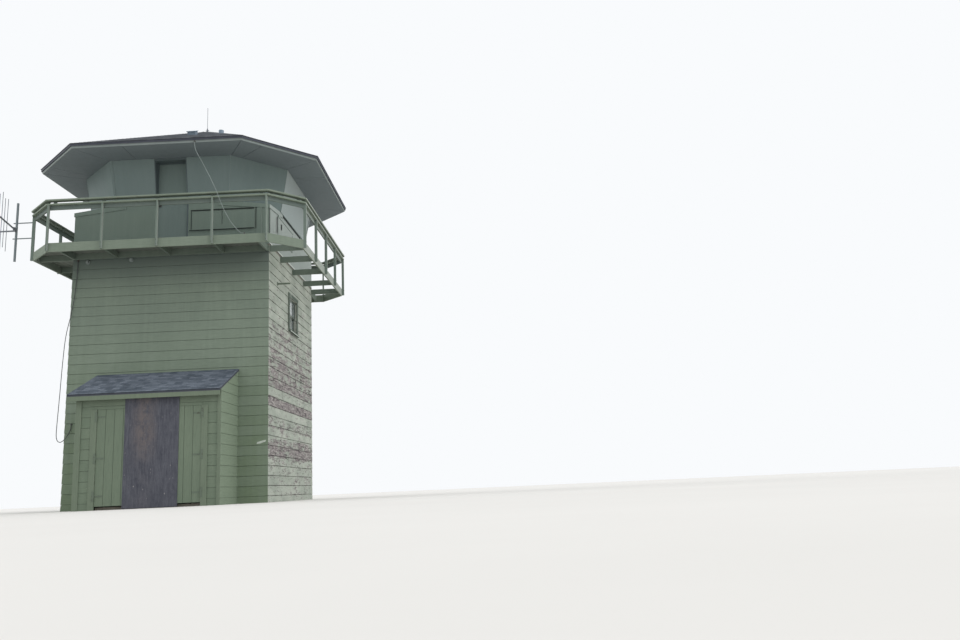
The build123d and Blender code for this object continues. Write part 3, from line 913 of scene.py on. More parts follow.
@dataclass(frozen=True)
class BarePlywood(Finish):
    """Plywood left out for years: nearly black, with brown streaks where the rain runs and pale specks."""

    dark: Colour = (60, 62, 71)
    light: Colour = (98, 99, 106)
    brown: Colour = (109, 100, 97)
    speck: Colour = (165, 160, 158)
    middle: float = 0.0
    smudge: Span = (0.9, 2.5)
    relief: float = 0.0016
    gloss: float = 0.15
    roughness: float = 0.88
    vein_share: float = 0.65
    veins: Cloud = Cloud((7.0, 7.0, 0.8), 4.0, 9.0, 0.85)
    stains: Cloud = Cloud((2.0, 2.0, 1.3), 2.6, 8.0, 0.8)
    specks: Cloud = Cloud((1.0, 1.0, 0.45), 26.0, 2.0)

    def mixed_up(self) -> bpy.types.Material:
        """Make the material from upright grain, a brown band and specks.

        Returns:
            The material.
        """
        sheet = NodeSheet(self.name, self.gloss)
        grain = sheet.noise(self.veins)
        cloud = sheet.noise(self.stains)
        tone = sheet.total(sheet.times(grain, self.vein_share), sheet.times(cloud, 1 - self.vein_share))
        colour = sheet.mixed(sheet.ramp(tone, (0.36, 0.0), (0.64, 1.0)), linear(self.dark),
                             linear(self.light))
        beside = sheet.maths("ABSOLUTE", sheet.maths("SUBTRACT", sheet.axis("X"), self.middle), 0.0)
        band = sheet.times(sheet.ramp(beside, (0.05, 0.95), (0.34, 0.0)),
                           sheet.ramp(cloud, (0.40, 0.0), (0.58, 0.9)))
        foot, top = self.smudge
        high = sheet.ramp(sheet.height(top), (foot / top, 0.1), (0.62, 1.0), (1.0, 0.75))
        colour = sheet.mixed(sheet.times(band, high), colour, linear(self.brown))
        specks = sheet.noise(self.specks)
        colour = sheet.mixed(sheet.ramp(specks, (0.74, 0.0), (0.78, 0.8)), colour, linear(self.speck))
        return sheet.finished(colour, self.roughness, sheet.bump(grain, self.relief))


@dataclass(frozen=True)
class Shingle(Finish):
    """Mineral granules on asphalt tabs, each tab with a tone of its own."""

    dark: Colour = (84, 92, 102)
    light: Colour = (122, 130, 141)
    granule_shade: float = 0.6
    relief: float = 0.0012
    gloss: float = 0.1
    roughness: float = 0.92
    weather_swing: float = 0.2
    granules: Cloud = Cloud(EVEN, 260.0, 2.0)
    weather: Cloud = Cloud(EVEN, 1.4)

    def mixed_up(self) -> bpy.types.Material:
        """Make the material from each tab's own tone and fine granules.

        Returns:
            The material.
        """
        sheet = NodeSheet(self.name, self.gloss)
        tone = sheet.nodes.new("ShaderNodeAttribute")
        tone.attribute_name = "tone"
        granules = sheet.noise(self.granules)
        cloud = sheet.noise(self.weather)
        level = sheet.total(tone.outputs["Fac"], sheet.swing(cloud, 0.5, self.weather_swing))
        colour = sheet.mixed(level, linear(self.dark), linear(self.light))
        colour = sheet.mixed(sheet.ramp(granules, (0.42, 0.55), (0.58, 0.0)), colour,
                             linear(darker(self.dark, self.granule_shade)))
        return sheet.finished(colour, self.roughness, sheet.bump(granules, self.relief))


@dataclass(frozen=True)
class Metal(Finish):
    """Dull metal, with stains and rust where it is asked for."""

    body: Colour = (128, 132, 132)
    stain: Colour = (92, 84, 78)
    shine: float = 0.8
    roughness: float = 0.5
    rust_from: float = 0.62
    rust_edge: float = 0.08
    relief: float = 0.0006
    rough_step: float = 0.25
    stains: Cloud = Cloud(EVEN, 14.0, 6.0, 0.65)

    def mixed_up(self) -> bpy.types.Material:
        """Make the material from a stain mask.

        Returns:
            The material.
        """
        sheet = NodeSheet(self.name)
        cloud = sheet.noise(self.stains)
        stained = sheet.ramp(cloud, (self.rust_from, 0.0), (self.rust_from + self.rust_edge, 1.0))
        sheet.shader.inputs["Metallic"].default_value = self.shine
        colour = sheet.mixed(stained, linear(self.body), linear(self.stain))
        rough = sheet.ramp(cloud, (0.3, self.roughness), (0.7, min(1.0, self.roughness + self.rough_step)))
        return sheet.finished(colour, rough, sheet.bump(cloud, self.relief))


@dataclass(frozen=True)
class Pane(Finish):
    """Old window glass, slightly wavy and dusty, over a dark room."""

    tint: Colour = (214, 224, 224)
    clear: float = 0.85
    bending: float = 1.45
    relief: float = 0.002
    waves: Cloud = Cloud(EVEN, 3.0, 2.0)

    def mixed_up(self) -> bpy.types.Material:
        """Make clear glass with a slow wave.

        Returns:
            The material.
        """
        sheet = NodeSheet(self.name)
        wave = sheet.noise(self.waves)
        sheet.shader.inputs["Transmission Weight"].default_value = self.clear
        sheet.shader.inputs["IOR"].default_value = self.bending
        return sheet.finished(linear(self.tint), sheet.ramp(wave, (0.3, 0.03), (0.7, 0.12)),
                              sheet.bump(wave, self.relief))


@dataclass(frozen=True)
class Sheath(Finish):
    """Plastic sheath of a wire or cable."""

    colour: Colour = (40, 42, 44)
    dust: int = 26
    relief: float = 0.0003
    dirt: Cloud = Cloud(EVEN, 9.0, 4.0)

    def mixed_up(self) -> bpy.types.Material:
        """Make weathered plastic.

        Returns:
            The material.
        """
        sheet = NodeSheet(self.name)
        cloud = sheet.noise(self.dirt)
        colour = sheet.mixed(sheet.ramp(cloud, (0.4, 0.0), (0.7, 0.7)), linear(self.colour),
                             linear(paler(self.colour, self.dust)))
        return sheet.finished(colour, sheet.ramp(cloud, (0.3, 0.5), (0.7, 0.7)),
                              sheet.bump(cloud, self.relief))


# The tower's finishes: paint, faded paint and bare wood, or body and stain
# The siding's high colour is painted shade under the catwalk's deck.
SIDING = PaintedWood("siding_paint", (112, 124, 111), (125, 137, 122), (124, 112, 104), Grain.LEVEL, 0.72,
                     row_height=ROW_HEIGHT, row_line=ROW_LINE, low=(111, 126, 102), high=(88, 98, 94))
# The store's paint is a little darker than the shaft's: partly its own paint, partly painted shade under the
# store's eave.
STORE_SIDING = PaintedWood("store_paint", (104, 117, 100), (116, 128, 110), (166, 166, 156), Grain.LEVEL,
                           0.66, row_height=ROW_HEIGHT, row_line=ROW_LINE, sunlit=(120, 133, 114))
# The backings behind the siding are darkened to paint the shade in the gaps between rows.
SIDING_GAP_SHADE = PaintedWood("siding_gap_shade", (50, 58, 50), (60, 67, 59), (60, 56, 52), Grain.LEVEL, 0.80)
WORN_SIDING = PeeledSiding("peeled_siding")
WORN_GAP_SHADE = PaintedWood("peeled_gap_shade", (84, 80, 78), (98, 94, 90), (70, 64, 62), Grain.LEVEL, 0.6)
TRIM = PaintedWood("trim_paint", (112, 124, 110), (126, 136, 122), (126, 116, 108), Grain.LEVEL, 0.70,
                   sunlit=(150, 156, 148))
# The trim's edge finish is paler than its faces: partly worn paint, partly a painted highlight along the
# edges, strongest on the side turned to +X.
TRIM_EDGE = PaintedWood("trim_edge", (124, 135, 121), (144, 152, 138), (136, 128, 120), Grain.LEVEL, 0.58,
                        sunlit=(186, 191, 183))
# The rail boards' paint is darkened to paint the shade they lie in behind the posts and under the plates.
RAIL_SHADED = PaintedWood("rail_shaded_paint", (96, 107, 102), (106, 116, 110), (126, 116, 108), Grain.LEVEL, 0.70,
                   sunlit=(140, 148, 141))
POST = PaintedWood("post_paint", (104, 117, 109), (114, 126, 117), (126, 116, 108), Grain.UPRIGHT, 0.70,
                   sunlit=(140, 148, 140))
POST_EDGE = PaintedWood("post_edge", (122, 134, 121), (140, 149, 136), (136, 128, 120), Grain.UPRIGHT, 0.58,
                        sunlit=(158, 164, 154))
PANEL = PaintedWood("panel_paint", (106, 120, 111), (117, 130, 120), (122, 114, 110), Grain.UPRIGHT, 0.76,
                    grain_depth=0.14, sunlit=(158, 166, 161))
PANEL_EDGE = PaintedWood("panel_edge", (112, 124, 118), (126, 136, 129), (126, 118, 112), Grain.UPRIGHT, 0.64,
                         sunlit=(152, 159, 152))
CAB_PAINT = PaintedWood("cab_paint", (107, 121, 119), (118, 131, 128), (122, 114, 110), Grain.UPRIGHT, 0.76,
                        grain_depth=0.14, sunlit=(158, 167, 165))
# The fascia is paler than the other trim: partly its own paint, partly painted light along the eave's edge.
FASCIA = PaintedWood("fascia_paint", (128, 137, 135), (140, 148, 145), (116, 112, 108), Grain.LEVEL, 0.74)
FRAMING = PaintedWood("framing_paint", (96, 108, 98), (112, 122, 111), (112, 105, 98), Grain.LEVEL, 0.68)
FRAMING_EDGE = PaintedWood("framing_edge", (106, 118, 107), (122, 131, 120), (122, 114, 107), Grain.LEVEL,
                           0.58)
SOFFIT = PaintedWood("soffit_paint", (110, 119, 122), (117, 126, 128), (120, 116, 112), Grain.NONE,
                     0.80, 0.16)
DECK_X = PaintedWood("deck_wood_front", (94, 102, 95), (118, 122, 113), (104, 100, 93), Grain.ALONG_X, 0.58)
DECK_Y = PaintedWood("deck_wood_side", (94, 102, 95), (118, 122, 113), (104, 100, 93), Grain.ALONG_Y, 0.58)
DOOR = PaintedWood("store_door_paint", (104, 117, 100), (116, 128, 110), (120, 110, 100), Grain.UPRIGHT, 0.72)
DOOR_EDGE = PaintedWood("store_door_edge", (90, 102, 87), (102, 114, 98), (110, 100, 92), Grain.UPRIGHT, 0.66)
CAB_DOOR = PaintedWood("cab_door_paint", (104, 118, 114), (114, 127, 122), (112, 106, 102), Grain.UPRIGHT,
                       0.78, 0.16)
# The door frame is darker than the door to paint the shade in the door's recess.
DOOR_FRAME_SHADED = PaintedWood("door_frame_shade", (84, 95, 96), (94, 105, 106), (104, 98, 94), Grain.UPRIGHT, 0.76)
STORE_TRIM = PaintedWood("store_trim_paint", (105, 117, 100), (115, 126, 109), (140, 136, 126), Grain.UPRIGHT,
                         0.70)
STORE_EDGE = PaintedWood("store_trim_edge", (118, 129, 112), (134, 143, 126), (150, 146, 136), Grain.UPRIGHT,
                         0.58)
CASING = PaintedWood("casing_paint", (72, 84, 74), (90, 101, 90), (120, 112, 104), Grain.UPRIGHT, 0.64)
# The casing's rounded edges are pale: a painted highlight along them.
CASING_HIGHLIGHT = PaintedWood("casing_edge_highlight", (150, 158, 148), (170, 175, 166), (140, 132, 124), Grain.UPRIGHT,
                          0.6)
WINDOW_WOOD = PaintedWood("sash_paint", (70, 80, 74), (92, 100, 93), (112, 104, 98), Grain.UPRIGHT, 0.62)
FLOORING = PaintedWood("floor_wood", (116, 112, 102), (130, 126, 114), (108, 100, 90), Grain.ALONG_X, 0.62)
# Near-black strips that paint shadow lines and the shade in open gaps.
SHADOW = PaintedWood("shadow_and_open_joint", (38, 44, 42), (48, 54, 51), (52, 50, 48), Grain.LEVEL, 0.8)
ROOF_EDGE = PaintedWood("roof_edge", (66, 69, 77), (80, 83, 91), (84, 80, 78), Grain.LEVEL, 0.7)
PLYWOOD = BarePlywood("weathered_plywood")
SHINGLE = Shingle("asphalt_shingle")
# The cab roof's shingles are paler than the store's: partly their own tone, partly painted light, so that
# their butts, seen nearly edge on from below, read as the lit slope.
ROOF_SHINGLE = Shingle("roof_shingle", (110, 114, 119), (145, 148, 153))
# The galvanised metal's bluish colour is partly its own grey and partly a painted reflection of the blue sky.
GALVANISED_SKY = Metal("galvanised_sky_tint", (122, 136, 148), (96, 98, 98), 0.35, 0.5, 0.60)
STEEL = Metal("dull_steel", (88, 90, 88), (92, 70, 56), 0.5, 0.62, 0.52)
PAINTED_STEEL = Metal("painted_steel", (92, 104, 89), (76, 78, 66), 0.0, 0.6, 0.56)
ALUMINIUM = Metal("dull_aluminium", (120, 124, 130), (98, 98, 100), 0.5, 0.5, 0.62)
MAST = Metal("mast_paint", (112, 121, 124), (96, 92, 90), 0.0, 0.6, 0.62)
GLASS = Pane("window_pane")
DARK_SHEATH = Sheath("dark_sheath", (44, 46, 48))
PALE_SHEATH = Sheath("pale_sheath", (120, 129, 126))
LAMP_GREY = Sheath("lamp_base", (114, 122, 119))
BARE_PATCH = Sheath("bare_patch", (178, 184, 174))
PALE_EDGE = Sheath("pale_edge", (186, 192, 183))


# The tower's pieces


def softened(node: str, slot: str, width: float, *finishes: Finish) -> bpy.types.Object:
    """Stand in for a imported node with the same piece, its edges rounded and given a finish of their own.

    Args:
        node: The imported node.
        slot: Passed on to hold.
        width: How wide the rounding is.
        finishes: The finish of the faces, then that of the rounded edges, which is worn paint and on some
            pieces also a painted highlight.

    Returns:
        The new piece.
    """
    piece = dress(node_copy(node, node + "_worn"), *finishes)
    return hold(rounded(piece, width), slot, node)


@dataclass
class LapSiding:
    """Level boards with a dark gap between the rows, each leaning in a little towards its top."""

    row_height: float = ROW_HEIGHT
    row_line: float = ROW_LINE
    gap: float = 0.005
    depth: float = 0.022
    lean: float = 0.006
    edge: float = 0.0025

    def rows(self, low: float, high: float) -> list[Span]:
        """Return the lower and upper edge of each row.

        Args:
            low: The lowest height that is clad.
            high: The highest one.

        Returns:
            Pairs of heights, from the lowest row up.
        """
        first = math.ceil((low - self.row_line) / self.row_height)
        last = math.floor((high - self.row_line) / self.row_height)
        lines = [self.row_line + self.row_height * i for i in range(first, last + 1)]
        edges = [low - self.gap / 2] + lines + [high + self.gap / 2]
        pairs = [(a + self.gap / 2, b - self.gap / 2) for a, b in zip(edges, edges[1:])]
        return [pair for pair in pairs if pair[1] - pair[0] > self.gap * 2]

    def boards(self, name: str, start: Vector, end: Vector, low: float, high: float,
               mitred: bool = True) -> bpy.types.Object:
        """Clad an upright face with rows of boards.

        Args:
            name: The piece's name.
            start: Plan place of the face's left end, seen from outside.
            end: Plan place of its right end.
            low: The lowest height that is clad.
            high: The highest one.
            mitred: Whether the ends are cut to meet the next face's boards.

        Returns:
            The boards as one piece.
        """
        along = (end - start).normalized()
        inward = Vector((-along.y, along.x, 0))
        back = self.depth if mitred else 0.0
        boards = []
        for bottom, top in self.rows(low, high):
            lean = self.lean * (top - bottom) / self.row_height
            corners = []
            for height, inset in ((bottom, 0.0), (top, lean)):
                up = Vector((0, 0, height))
                mitre = inset if mitred else 0.0
                corners.append([start + inward * inset + along * mitre + up,
                                end + inward * inset - along * mitre + up,
                                end + inward * self.depth - along * back + up,
                                start + inward * self.depth + along * back + up])
            boards.append(leaning_block(name, *corners))
        return joined(name, boards)


@dataclass
class Nails:
    """Small nail heads in rows along the boards."""

    radius: float = 0.0045
    proud: float = 0.0012
    spacing: float = 0.4064
    lift: float = 0.028

    def heads(self, name: str, start: Vector, end: Vector, heights: list[float]) -> bpy.types.Object:
        """Nail the boards of one face.

        Args:
            name: The piece's name.
            start: Plan place of the face's left end, seen from outside.
            end: Plan place of its right end.
            heights: Lower edge of each board.

        Returns:
            All nail heads of the face as one piece.
        """
        along = (end - start).normalized()
        outward_way = Vector((along.y, -along.x, 0))
        span = (end - start).length
        count = int((span - self.spacing / 3) / self.spacing)
        margin = (span - count * self.spacing) / 2
        head = rod(name, Vector((0, 0, 0)), outward_way * self.proud, self.radius, 6)
        heads = []
        for height in heights:
            for i in range(count + 1):
                place = start + along * (margin + i * self.spacing) + Vector((0, 0, height + self.lift))
                heads.append(copied(head, name, Matrix.Translation(place)))
        bpy.data.objects.remove(head)
        return joined(name, heads)


@dataclass
class ShaftWalls:
    """Four clad walls of the shaft, with the window's opening in the right one."""

    siding: LapSiding = field(default_factory=LapSiding)
    worn_siding: LapSiding = field(default_factory=lambda: LapSiding(gap=0.008))
    nails: Nails = field(default_factory=Nails)
    seat: float = 0.0005
    cut_reach: float = 0.1

    def build(self) -> None:
        """Build and dress the four walls and their floors."""
        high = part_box("front_wall")[1]
        half = high.x
        inner = -high.y
        ends = Vector((-half, -half, 0)), Vector((half, -half, 0))
        sound, worn = (rounded(siding.boards("front_boards", *ends, 0.0, high.z), siding.edge, 1)
                       for siding in (self.siding, self.worn_siding))
        heights = [row[0] for row in self.siding.rows(0.0, high.z)]
        nails = self.nails.heads("siding_nails_front", *ends, heights)
        for index, side in enumerate(("front", "right", "back", "left")):
            self.wall(index, side, worn if side == "right" else sound, half, inner, high.z)
            heads = copied(nails, f"siding_nails_{side}_side", quarter(index))
            if side == "right":
                self.without_window(heads)
            hold(dress(heads, STEEL if side == "right" else SIDING), "green_siding")
        for spare in (nails, sound, worn):
            bpy.data.objects.remove(spare)
        dress_nodes(FLOORING, "ground_floor", "cab_floor", "store_floor")

    def wall(self, index: int, side: str, boards: bpy.types.Object, half: float, inner: float,
             top: float) -> None:
        """Build one wall: its boards over a backing darkened to paint the shade in the gaps between rows.

        Args:
            index: Quarter turns from the front.
            side: The wall's side.
            boards: The front wall's boards.
            half: Half the shaft's width.
            inner: Half the width inside.
            top: Height of the wall.
        """
        worn = side == "right"
        face = half - self.siding.depth - self.seat
        end = face if index % 2 == 0 else inner
        finish, gap = (WORN_SIDING, WORN_GAP_SHADE) if worn else (SIDING, SIDING_GAP_SHADE)
        cladding = dress(copied(boards, side + "_boards", quarter(index)), finish)
        backing = block(side + "_backing", (-end, -face, 0), (end, -inner, top))
        backing.data.transform(quarter(index))
        dress(backing, gap)
        piece = joined(side + "_wall_clad", [cladding, backing])
        if worn:
            low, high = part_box("window_sashes")
            opening = block("opening", (inner - self.cut_reach, low.y, low.z),
                            (half + self.cut_reach, high.y, high.z))
            modified(piece, "BOOLEAN", operation="DIFFERENCE", object=opening, solver="EXACT")
            bpy.data.objects.remove(opening)
        hold(piece, "worn_siding" if worn else "green_siding", side + "_wall")

    def without_window(self, heads: bpy.types.Object) -> None:
        """Take out the nail heads that would hang in the window's opening or under its casing.

        Args:
            heads: The right wall's nail heads.
        """
        low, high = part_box("window_casing")
        with editing(heads, whole=False):
            bpy.ops.mesh.select_all(action="DESELECT")
        for corner in heads.data.vertices:
            corner.select = low.y < corner.co.y < high.y and low.z < corner.co.z < high.z
        with editing(heads, whole=False):
            bpy.ops.mesh.delete(type="VERT")


@dataclass
class WallFittings:
    """Small things on the shaft's walls: the bar, two lamp bases and a scuffed patch."""

    lamp_places: tuple[tuple[float, float], ...] = ((-2.06, 6.01), (-0.98, 6.02))
    lamp_radius: float = 0.055
    lamp_depth: float = 0.06
    lamp_sides: int = 20
    lamp_edge: float = 0.006
    plate_share: float = 0.35
    neck_share: float = 0.6
    patch_outline: tuple[tuple[float, float], ...] = (
        (2.165, 1.365), (2.250, 1.372), (2.372, 1.412), (2.385, 1.452), (2.300, 1.440), (2.180, 1.408))
    patch_thickness: float = 0.003

    def build(self) -> None:
        """Build the fittings."""
        softened("wall_stub", "steel", FINE_EDGE, PAINTED_STEEL)
        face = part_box("front_wall")[0].y
        for index, (x, z) in enumerate(self.lamp_places):
            foot, rim, end = ((x, face - self.lamp_depth * share, z)
                              for share in (0.0, self.plate_share, 1.0))
            plate = rod("lamp_plate", foot, rim, self.lamp_radius, self.lamp_sides)
            neck = rod("lamp_neck", rim, end, self.lamp_radius * self.neck_share, self.lamp_sides)
            lamp = dress(joined(f"lamp_base_{index + 1}", [plate, neck]), LAMP_GREY)
            hold(rounded(lamp, self.lamp_edge, 3), "vent_metal")
        self.patch(face)

    def patch(self, face: float) -> None:
        """Lay a thin ragged patch of bare board on the front wall.

        Args:
            face: Y of the wall's face.
        """
        mesh = bpy.data.meshes.new("scuffed_patch")
        outer = [Vector((x, face - self.patch_thickness, z)) for x, z in self.patch_outline]
        inner = [Vector((x, face + self.patch_thickness, z)) for x, z in self.patch_outline]
        count = len(outer)
        sides = [(i, (i + 1) % count, count + (i + 1) % count, count + i) for i in range(count)]
        mesh.from_pydata(outer + inner, [], [tuple(range(count)), tuple(range(count, 2 * count))] + sides)
        patch = bpy.data.objects.new("scuffed_patch", mesh)
        bpy.context.scene.collection.objects.link(patch)
        outward(patch)
        hold(dress(patch, BARE_PATCH), "green_siding")


@dataclass
class Catwalk:
    """Framing of the catwalk, its rim and the planks that are left of its deck."""

    plank_width: float = 0.140
    plank_gap: float = 0.006
    plank_edge: float = 0.004
    ragged: float = 0.035
    seed: int = 5

    def build(self) -> None:
        """Build and dress the framing, the rim and the planks."""
        softened("ledgers", "frame_timber", WORN_EDGE, FRAMING, FRAMING_EDGE)
        softened("joists", "frame_timber", WORN_EDGE, FRAMING, FRAMING_EDGE)
        softened("rim_boards", "green_trim", WORN_EDGE, TRIM, TRIM_EDGE)
        low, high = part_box("deck")
        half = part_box("front_wall")[1].x
        chance = random.Random(self.seed)
        front = self.planks("deck_front", (low.x, low.y), (high.x, -half), low.z, high.z, chance)
        cut(front, self.clip_point(), (-1, -1, 0))
        back = copied(front, "deck_back", Matrix.Scale(-1, 4, (0, 1, 0)))
        outward(back)
        side = self.planks("deck_left", (-half, low.x), (half, -half), low.z, high.z, chance)
        side.data.transform(quarter(3))
        for piece, finish in ((front, DECK_X), (back, DECK_X), (side, DECK_Y)):
            hold(rounded(dress(piece, finish), self.plank_edge), "deck_boards", "deck")

    def planks(self, name: str, low: tuple[float, float], high: tuple[float, float], bottom: float,
               top: float, chance: random.Random) -> bpy.types.Object:
        """Lay planks side by side along X.

        Args:
            name: The piece's name.
            low: Lowest X and Y of the strip.
            high: Highest X and Y of it.
            bottom: Underside of the planks.
            top: Top of the planks.
            chance: Source of the uneven ends.

        Returns:
            The planks as one piece.
        """
        planks = []
        y = low[1]
        while y < high[1] - self.plank_gap:
            edge = min(y + self.plank_width, high[1])
            end = high[0] - self.ragged * chance.random()
            planks.append(block(name, (low[0], y, bottom), (end, edge, top)))
            y = edge + self.plank_gap
        return joined(name, planks)

    def clip_point(self) -> Point:
        """Find the clipped corner's face.

        Returns:
            A point of the face, the deck's foremost one at its left edge.
        """
        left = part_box("deck")[0].x
        edge = [corner.co for corner in bpy.data.objects["deck"].data.vertices
                if abs(corner.co.x - left) < TOUCH]
        return tuple(min(edge, key=lambda place: place.y))


@dataclass
class Railing:
    """Posts, rail boards, the plates on them, spacer blocks and the cap, all with worn edges."""

    bolt_radius: float = 0.009
    bolt_proud: float = 0.006
    bolt_margin: float = 0.055
    # The cap's rounding is wide so that its pale edge, partly a painted highlight, shows.
    cap_edge: float = 0.008

    def build(self) -> None:
        """Build and dress the railing."""
        softened("rail_posts", "green_trim", WORN_EDGE, POST, POST_EDGE)
        softened("rail_boards", "green_trim", WORN_EDGE, RAIL_SHADED, TRIM)
        softened("rail_plates", "green_trim", WORN_EDGE, TRIM, TRIM_EDGE)
        softened("rail_blocks", "green_trim", FINE_EDGE, RAIL_SHADED, TRIM)
        softened("rail_cap", "green_trim", self.cap_edge, TRIM, TRIM_EDGE)
        self.bolts()

    def post_places(self) -> list[float]:
        """Find the front posts.

        Returns:
            The middle of each along X, from left to right.
        """
        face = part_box("rail_posts")[0].y
        edges = sorted({round(corner.co.x, 4) for corner in bpy.data.objects["rail_posts"].data.vertices
                        if abs(corner.co.y - face) < TOUCH})
        return [(left + right) / 2 for left, right in zip(edges[::2], edges[1::2])]

    def bolts(self) -> None:
        """Bolt each post to the rim with two bolts."""
        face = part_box("rail_posts")[0].y
        low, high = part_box("rim_boards")
        bolts = []
        for x in self.post_places():
            for z in (low.z + self.bolt_margin, high.z - self.bolt_margin):
                bolts.append(rod("rail_bolts", (x, face + TOUCH, z), (x, face - self.bolt_proud, z),
                                 self.bolt_radius, 6))
        front = joined("rail_bolts", bolts)
        sides = [copied(front, f"rail_bolts_{i}", quarter(i)) for i in range(1, 4)]
        hold(dress(joined("rail_bolts", [front] + sides), STEEL), "steel")


@dataclass
class Cab:
    """Knee walls, leaning plywood walls and the recessed door."""

    batten_width: float = 0.055
    batten_thickness: float = 0.012
    wall_foot: tuple[float, float] = (2.470, 1.436)
    wall_head: tuple[float, float] = (2.665, 1.520)
    # Dark strips: painted shadow under the overhanging foot of the leaning walls and under the knee panels'
    # edges, and painted shade in open gaps between boards.
    sill_shadow: Span = (7.424, 7.474)
    wall_foot_shadows: tuple[tuple[int, Span, Span], ...] = (
        (0, (-1.43, -0.46), sill_shadow), (0, (0.44, 1.30), sill_shadow), (1, (-1.40, 0.92), (7.384, 7.474)),
        (2, (-1.30, 1.30), sill_shadow), (3, (-1.30, 1.30), sill_shadow))
    front_shadow_lines: tuple[tuple[Span, Span], ...] = (
        ((0.48, 2.07), (7.200, 7.226)), ((0.45, 2.06), (6.684, 6.708)), ((0.492, 0.504), (6.72, 7.19)),
        ((1.263, 1.270), (6.84, 7.18)), ((2.112, 2.122), (6.68, 7.24)))
    right_gaps_and_shadows: tuple[tuple[Span, Span], ...] = (
        ((-1.77, -1.715), (6.77, 7.20)), ((-1.37, -1.30), (6.96, 7.11)), ((-0.145, -0.135), (6.72, 7.16)))
    corner_gap_and_shadow: tuple[Span, Span] = ((-2.43, -2.37), (6.50, 7.20))
    base_gap: float = 0.022
    base_edge: float = 0.034
    lock_low: tuple[float, float] = (-0.365, 7.375)
    lock_high: tuple[float, float] = (-0.285, 7.475)
    lock_depth: float = 0.032
    lock_edge: float = 0.006
    knob_lift: float = 0.03
    stem_length: float = 0.03
    stem_radius: float = 0.010
    knob_length: float = 0.025
    knob_radius: float = 0.026
    knob_edge: float = 0.008

    def build(self) -> None:
        """Build and dress the cab's pieces."""
        softened("knee_walls", "green_panel", SAWN_EDGE, PANEL, PANEL_EDGE)
        softened("knee_trim", "green_trim", SAWN_EDGE, PANEL, PANEL_EDGE)
        softened("corner_shelves", "green_trim", FINE_EDGE, PANEL, PANEL_EDGE)
        softened("knee_panels", "green_panel", SAWN_EDGE, PANEL, PANEL_EDGE)
        softened("cab_sill", "green_trim", SAWN_EDGE, PANEL, PANEL_EDGE)
        softened("cab_walls", "green_panel", SAWN_EDGE, CAB_PAINT, PANEL_EDGE)
        softened("cab_door_frame", "green_trim", SAWN_EDGE, DOOR_FRAME_SHADED)
        softened("cab_door", "green_panel", WORN_EDGE, CAB_DOOR)
        self.battens()
        self.shadow_and_joint_strips()
        self.lock()

    def shadow_and_joint_strips(self) -> None:
        """Lay dark strips that paint the shadows under overhanging edges and the shade in open gaps between
        boards, and a pale strip along the foot of the knee wall.
        """
        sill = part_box("cab_sill")[0].y
        panel_low, panel_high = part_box("knee_panels")
        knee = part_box("knee_walls")[0].y
        strips = [inlay(side, span, height, sill, knee - sill) for side, span, height in self.wall_foot_shadows]
        strips += [inlay(0, span, height, panel_low.y) for span, height in self.front_shadow_lines]
        strips += [inlay(1, span, height, -panel_high.x) for span, height in self.right_gaps_and_shadows]
        strips.append(inlay(1, *self.corner_gap_and_shadow, knee))
        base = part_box("knee_walls")[0].z
        gap_top = base + self.base_gap
        strips.append(inlay(1, (knee, -knee), (base, gap_top), knee))
        hold(dress(joined("cab_shadow_and_joint_strips", strips), SHADOW), "green_panel")
        edge = inlay(1, (knee, -knee), (gap_top, gap_top + self.base_edge), knee)
        hold(dress(joined("knee_wall_edge", [edge]), PALE_EDGE), "green_panel")

    def battens(self) -> None:
        """Cover the corners of the leaning walls with narrow boards."""
        low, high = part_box("cab_walls")
        rows = []
        for (half, side), z in ((self.wall_foot, low.z), (self.wall_head, high.z)):
            face = -half - self.batten_thickness
            inner = side - self.batten_width
            rows.append([Vector(place) for place in ((inner, face, z), (side, face, z), (side, -half, z),
                                                     (inner, -half, z))])
        right = leaning_block("corner_batten", *rows)
        left = copied(right, "corner_batten_left", Matrix.Scale(-1, 4, (1, 0, 0)))
        pair = joined("corner_battens", [right, left])
        others = [copied(pair, f"corner_battens_{i}", quarter(i)) for i in range(1, 4)]
        piece = joined("corner_battens", [pair] + others)
        outward(piece)
        hold(rounded(dress(piece, CAB_PAINT, PANEL_EDGE), FINE_EDGE), "green_panel")

    def lock(self) -> None:
        """Hang a rim lock and a knob on the door's left edge."""
        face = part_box("cab_door")[0].y
        front = face - self.lock_depth
        neck = front - self.stem_length
        (left, bottom), (right, top) = self.lock_low, self.lock_high
        case = block("door_lock", (left, front, bottom), (right, face + TOUCH, top))
        rounded(case, self.lock_edge, 3)
        x = (left + right) / 2
        z = bottom + self.knob_lift
        stem = rod("knob_stem", (x, front, z), (x, neck, z), self.stem_radius)
        knob = rod("knob", (x, neck, z), (x, neck - self.knob_length, z), self.knob_radius, 24)
        rounded(knob, self.knob_edge, 3)
        hold(dress(joined("door_lock", [case, stem, knob]), STEEL), "steel")


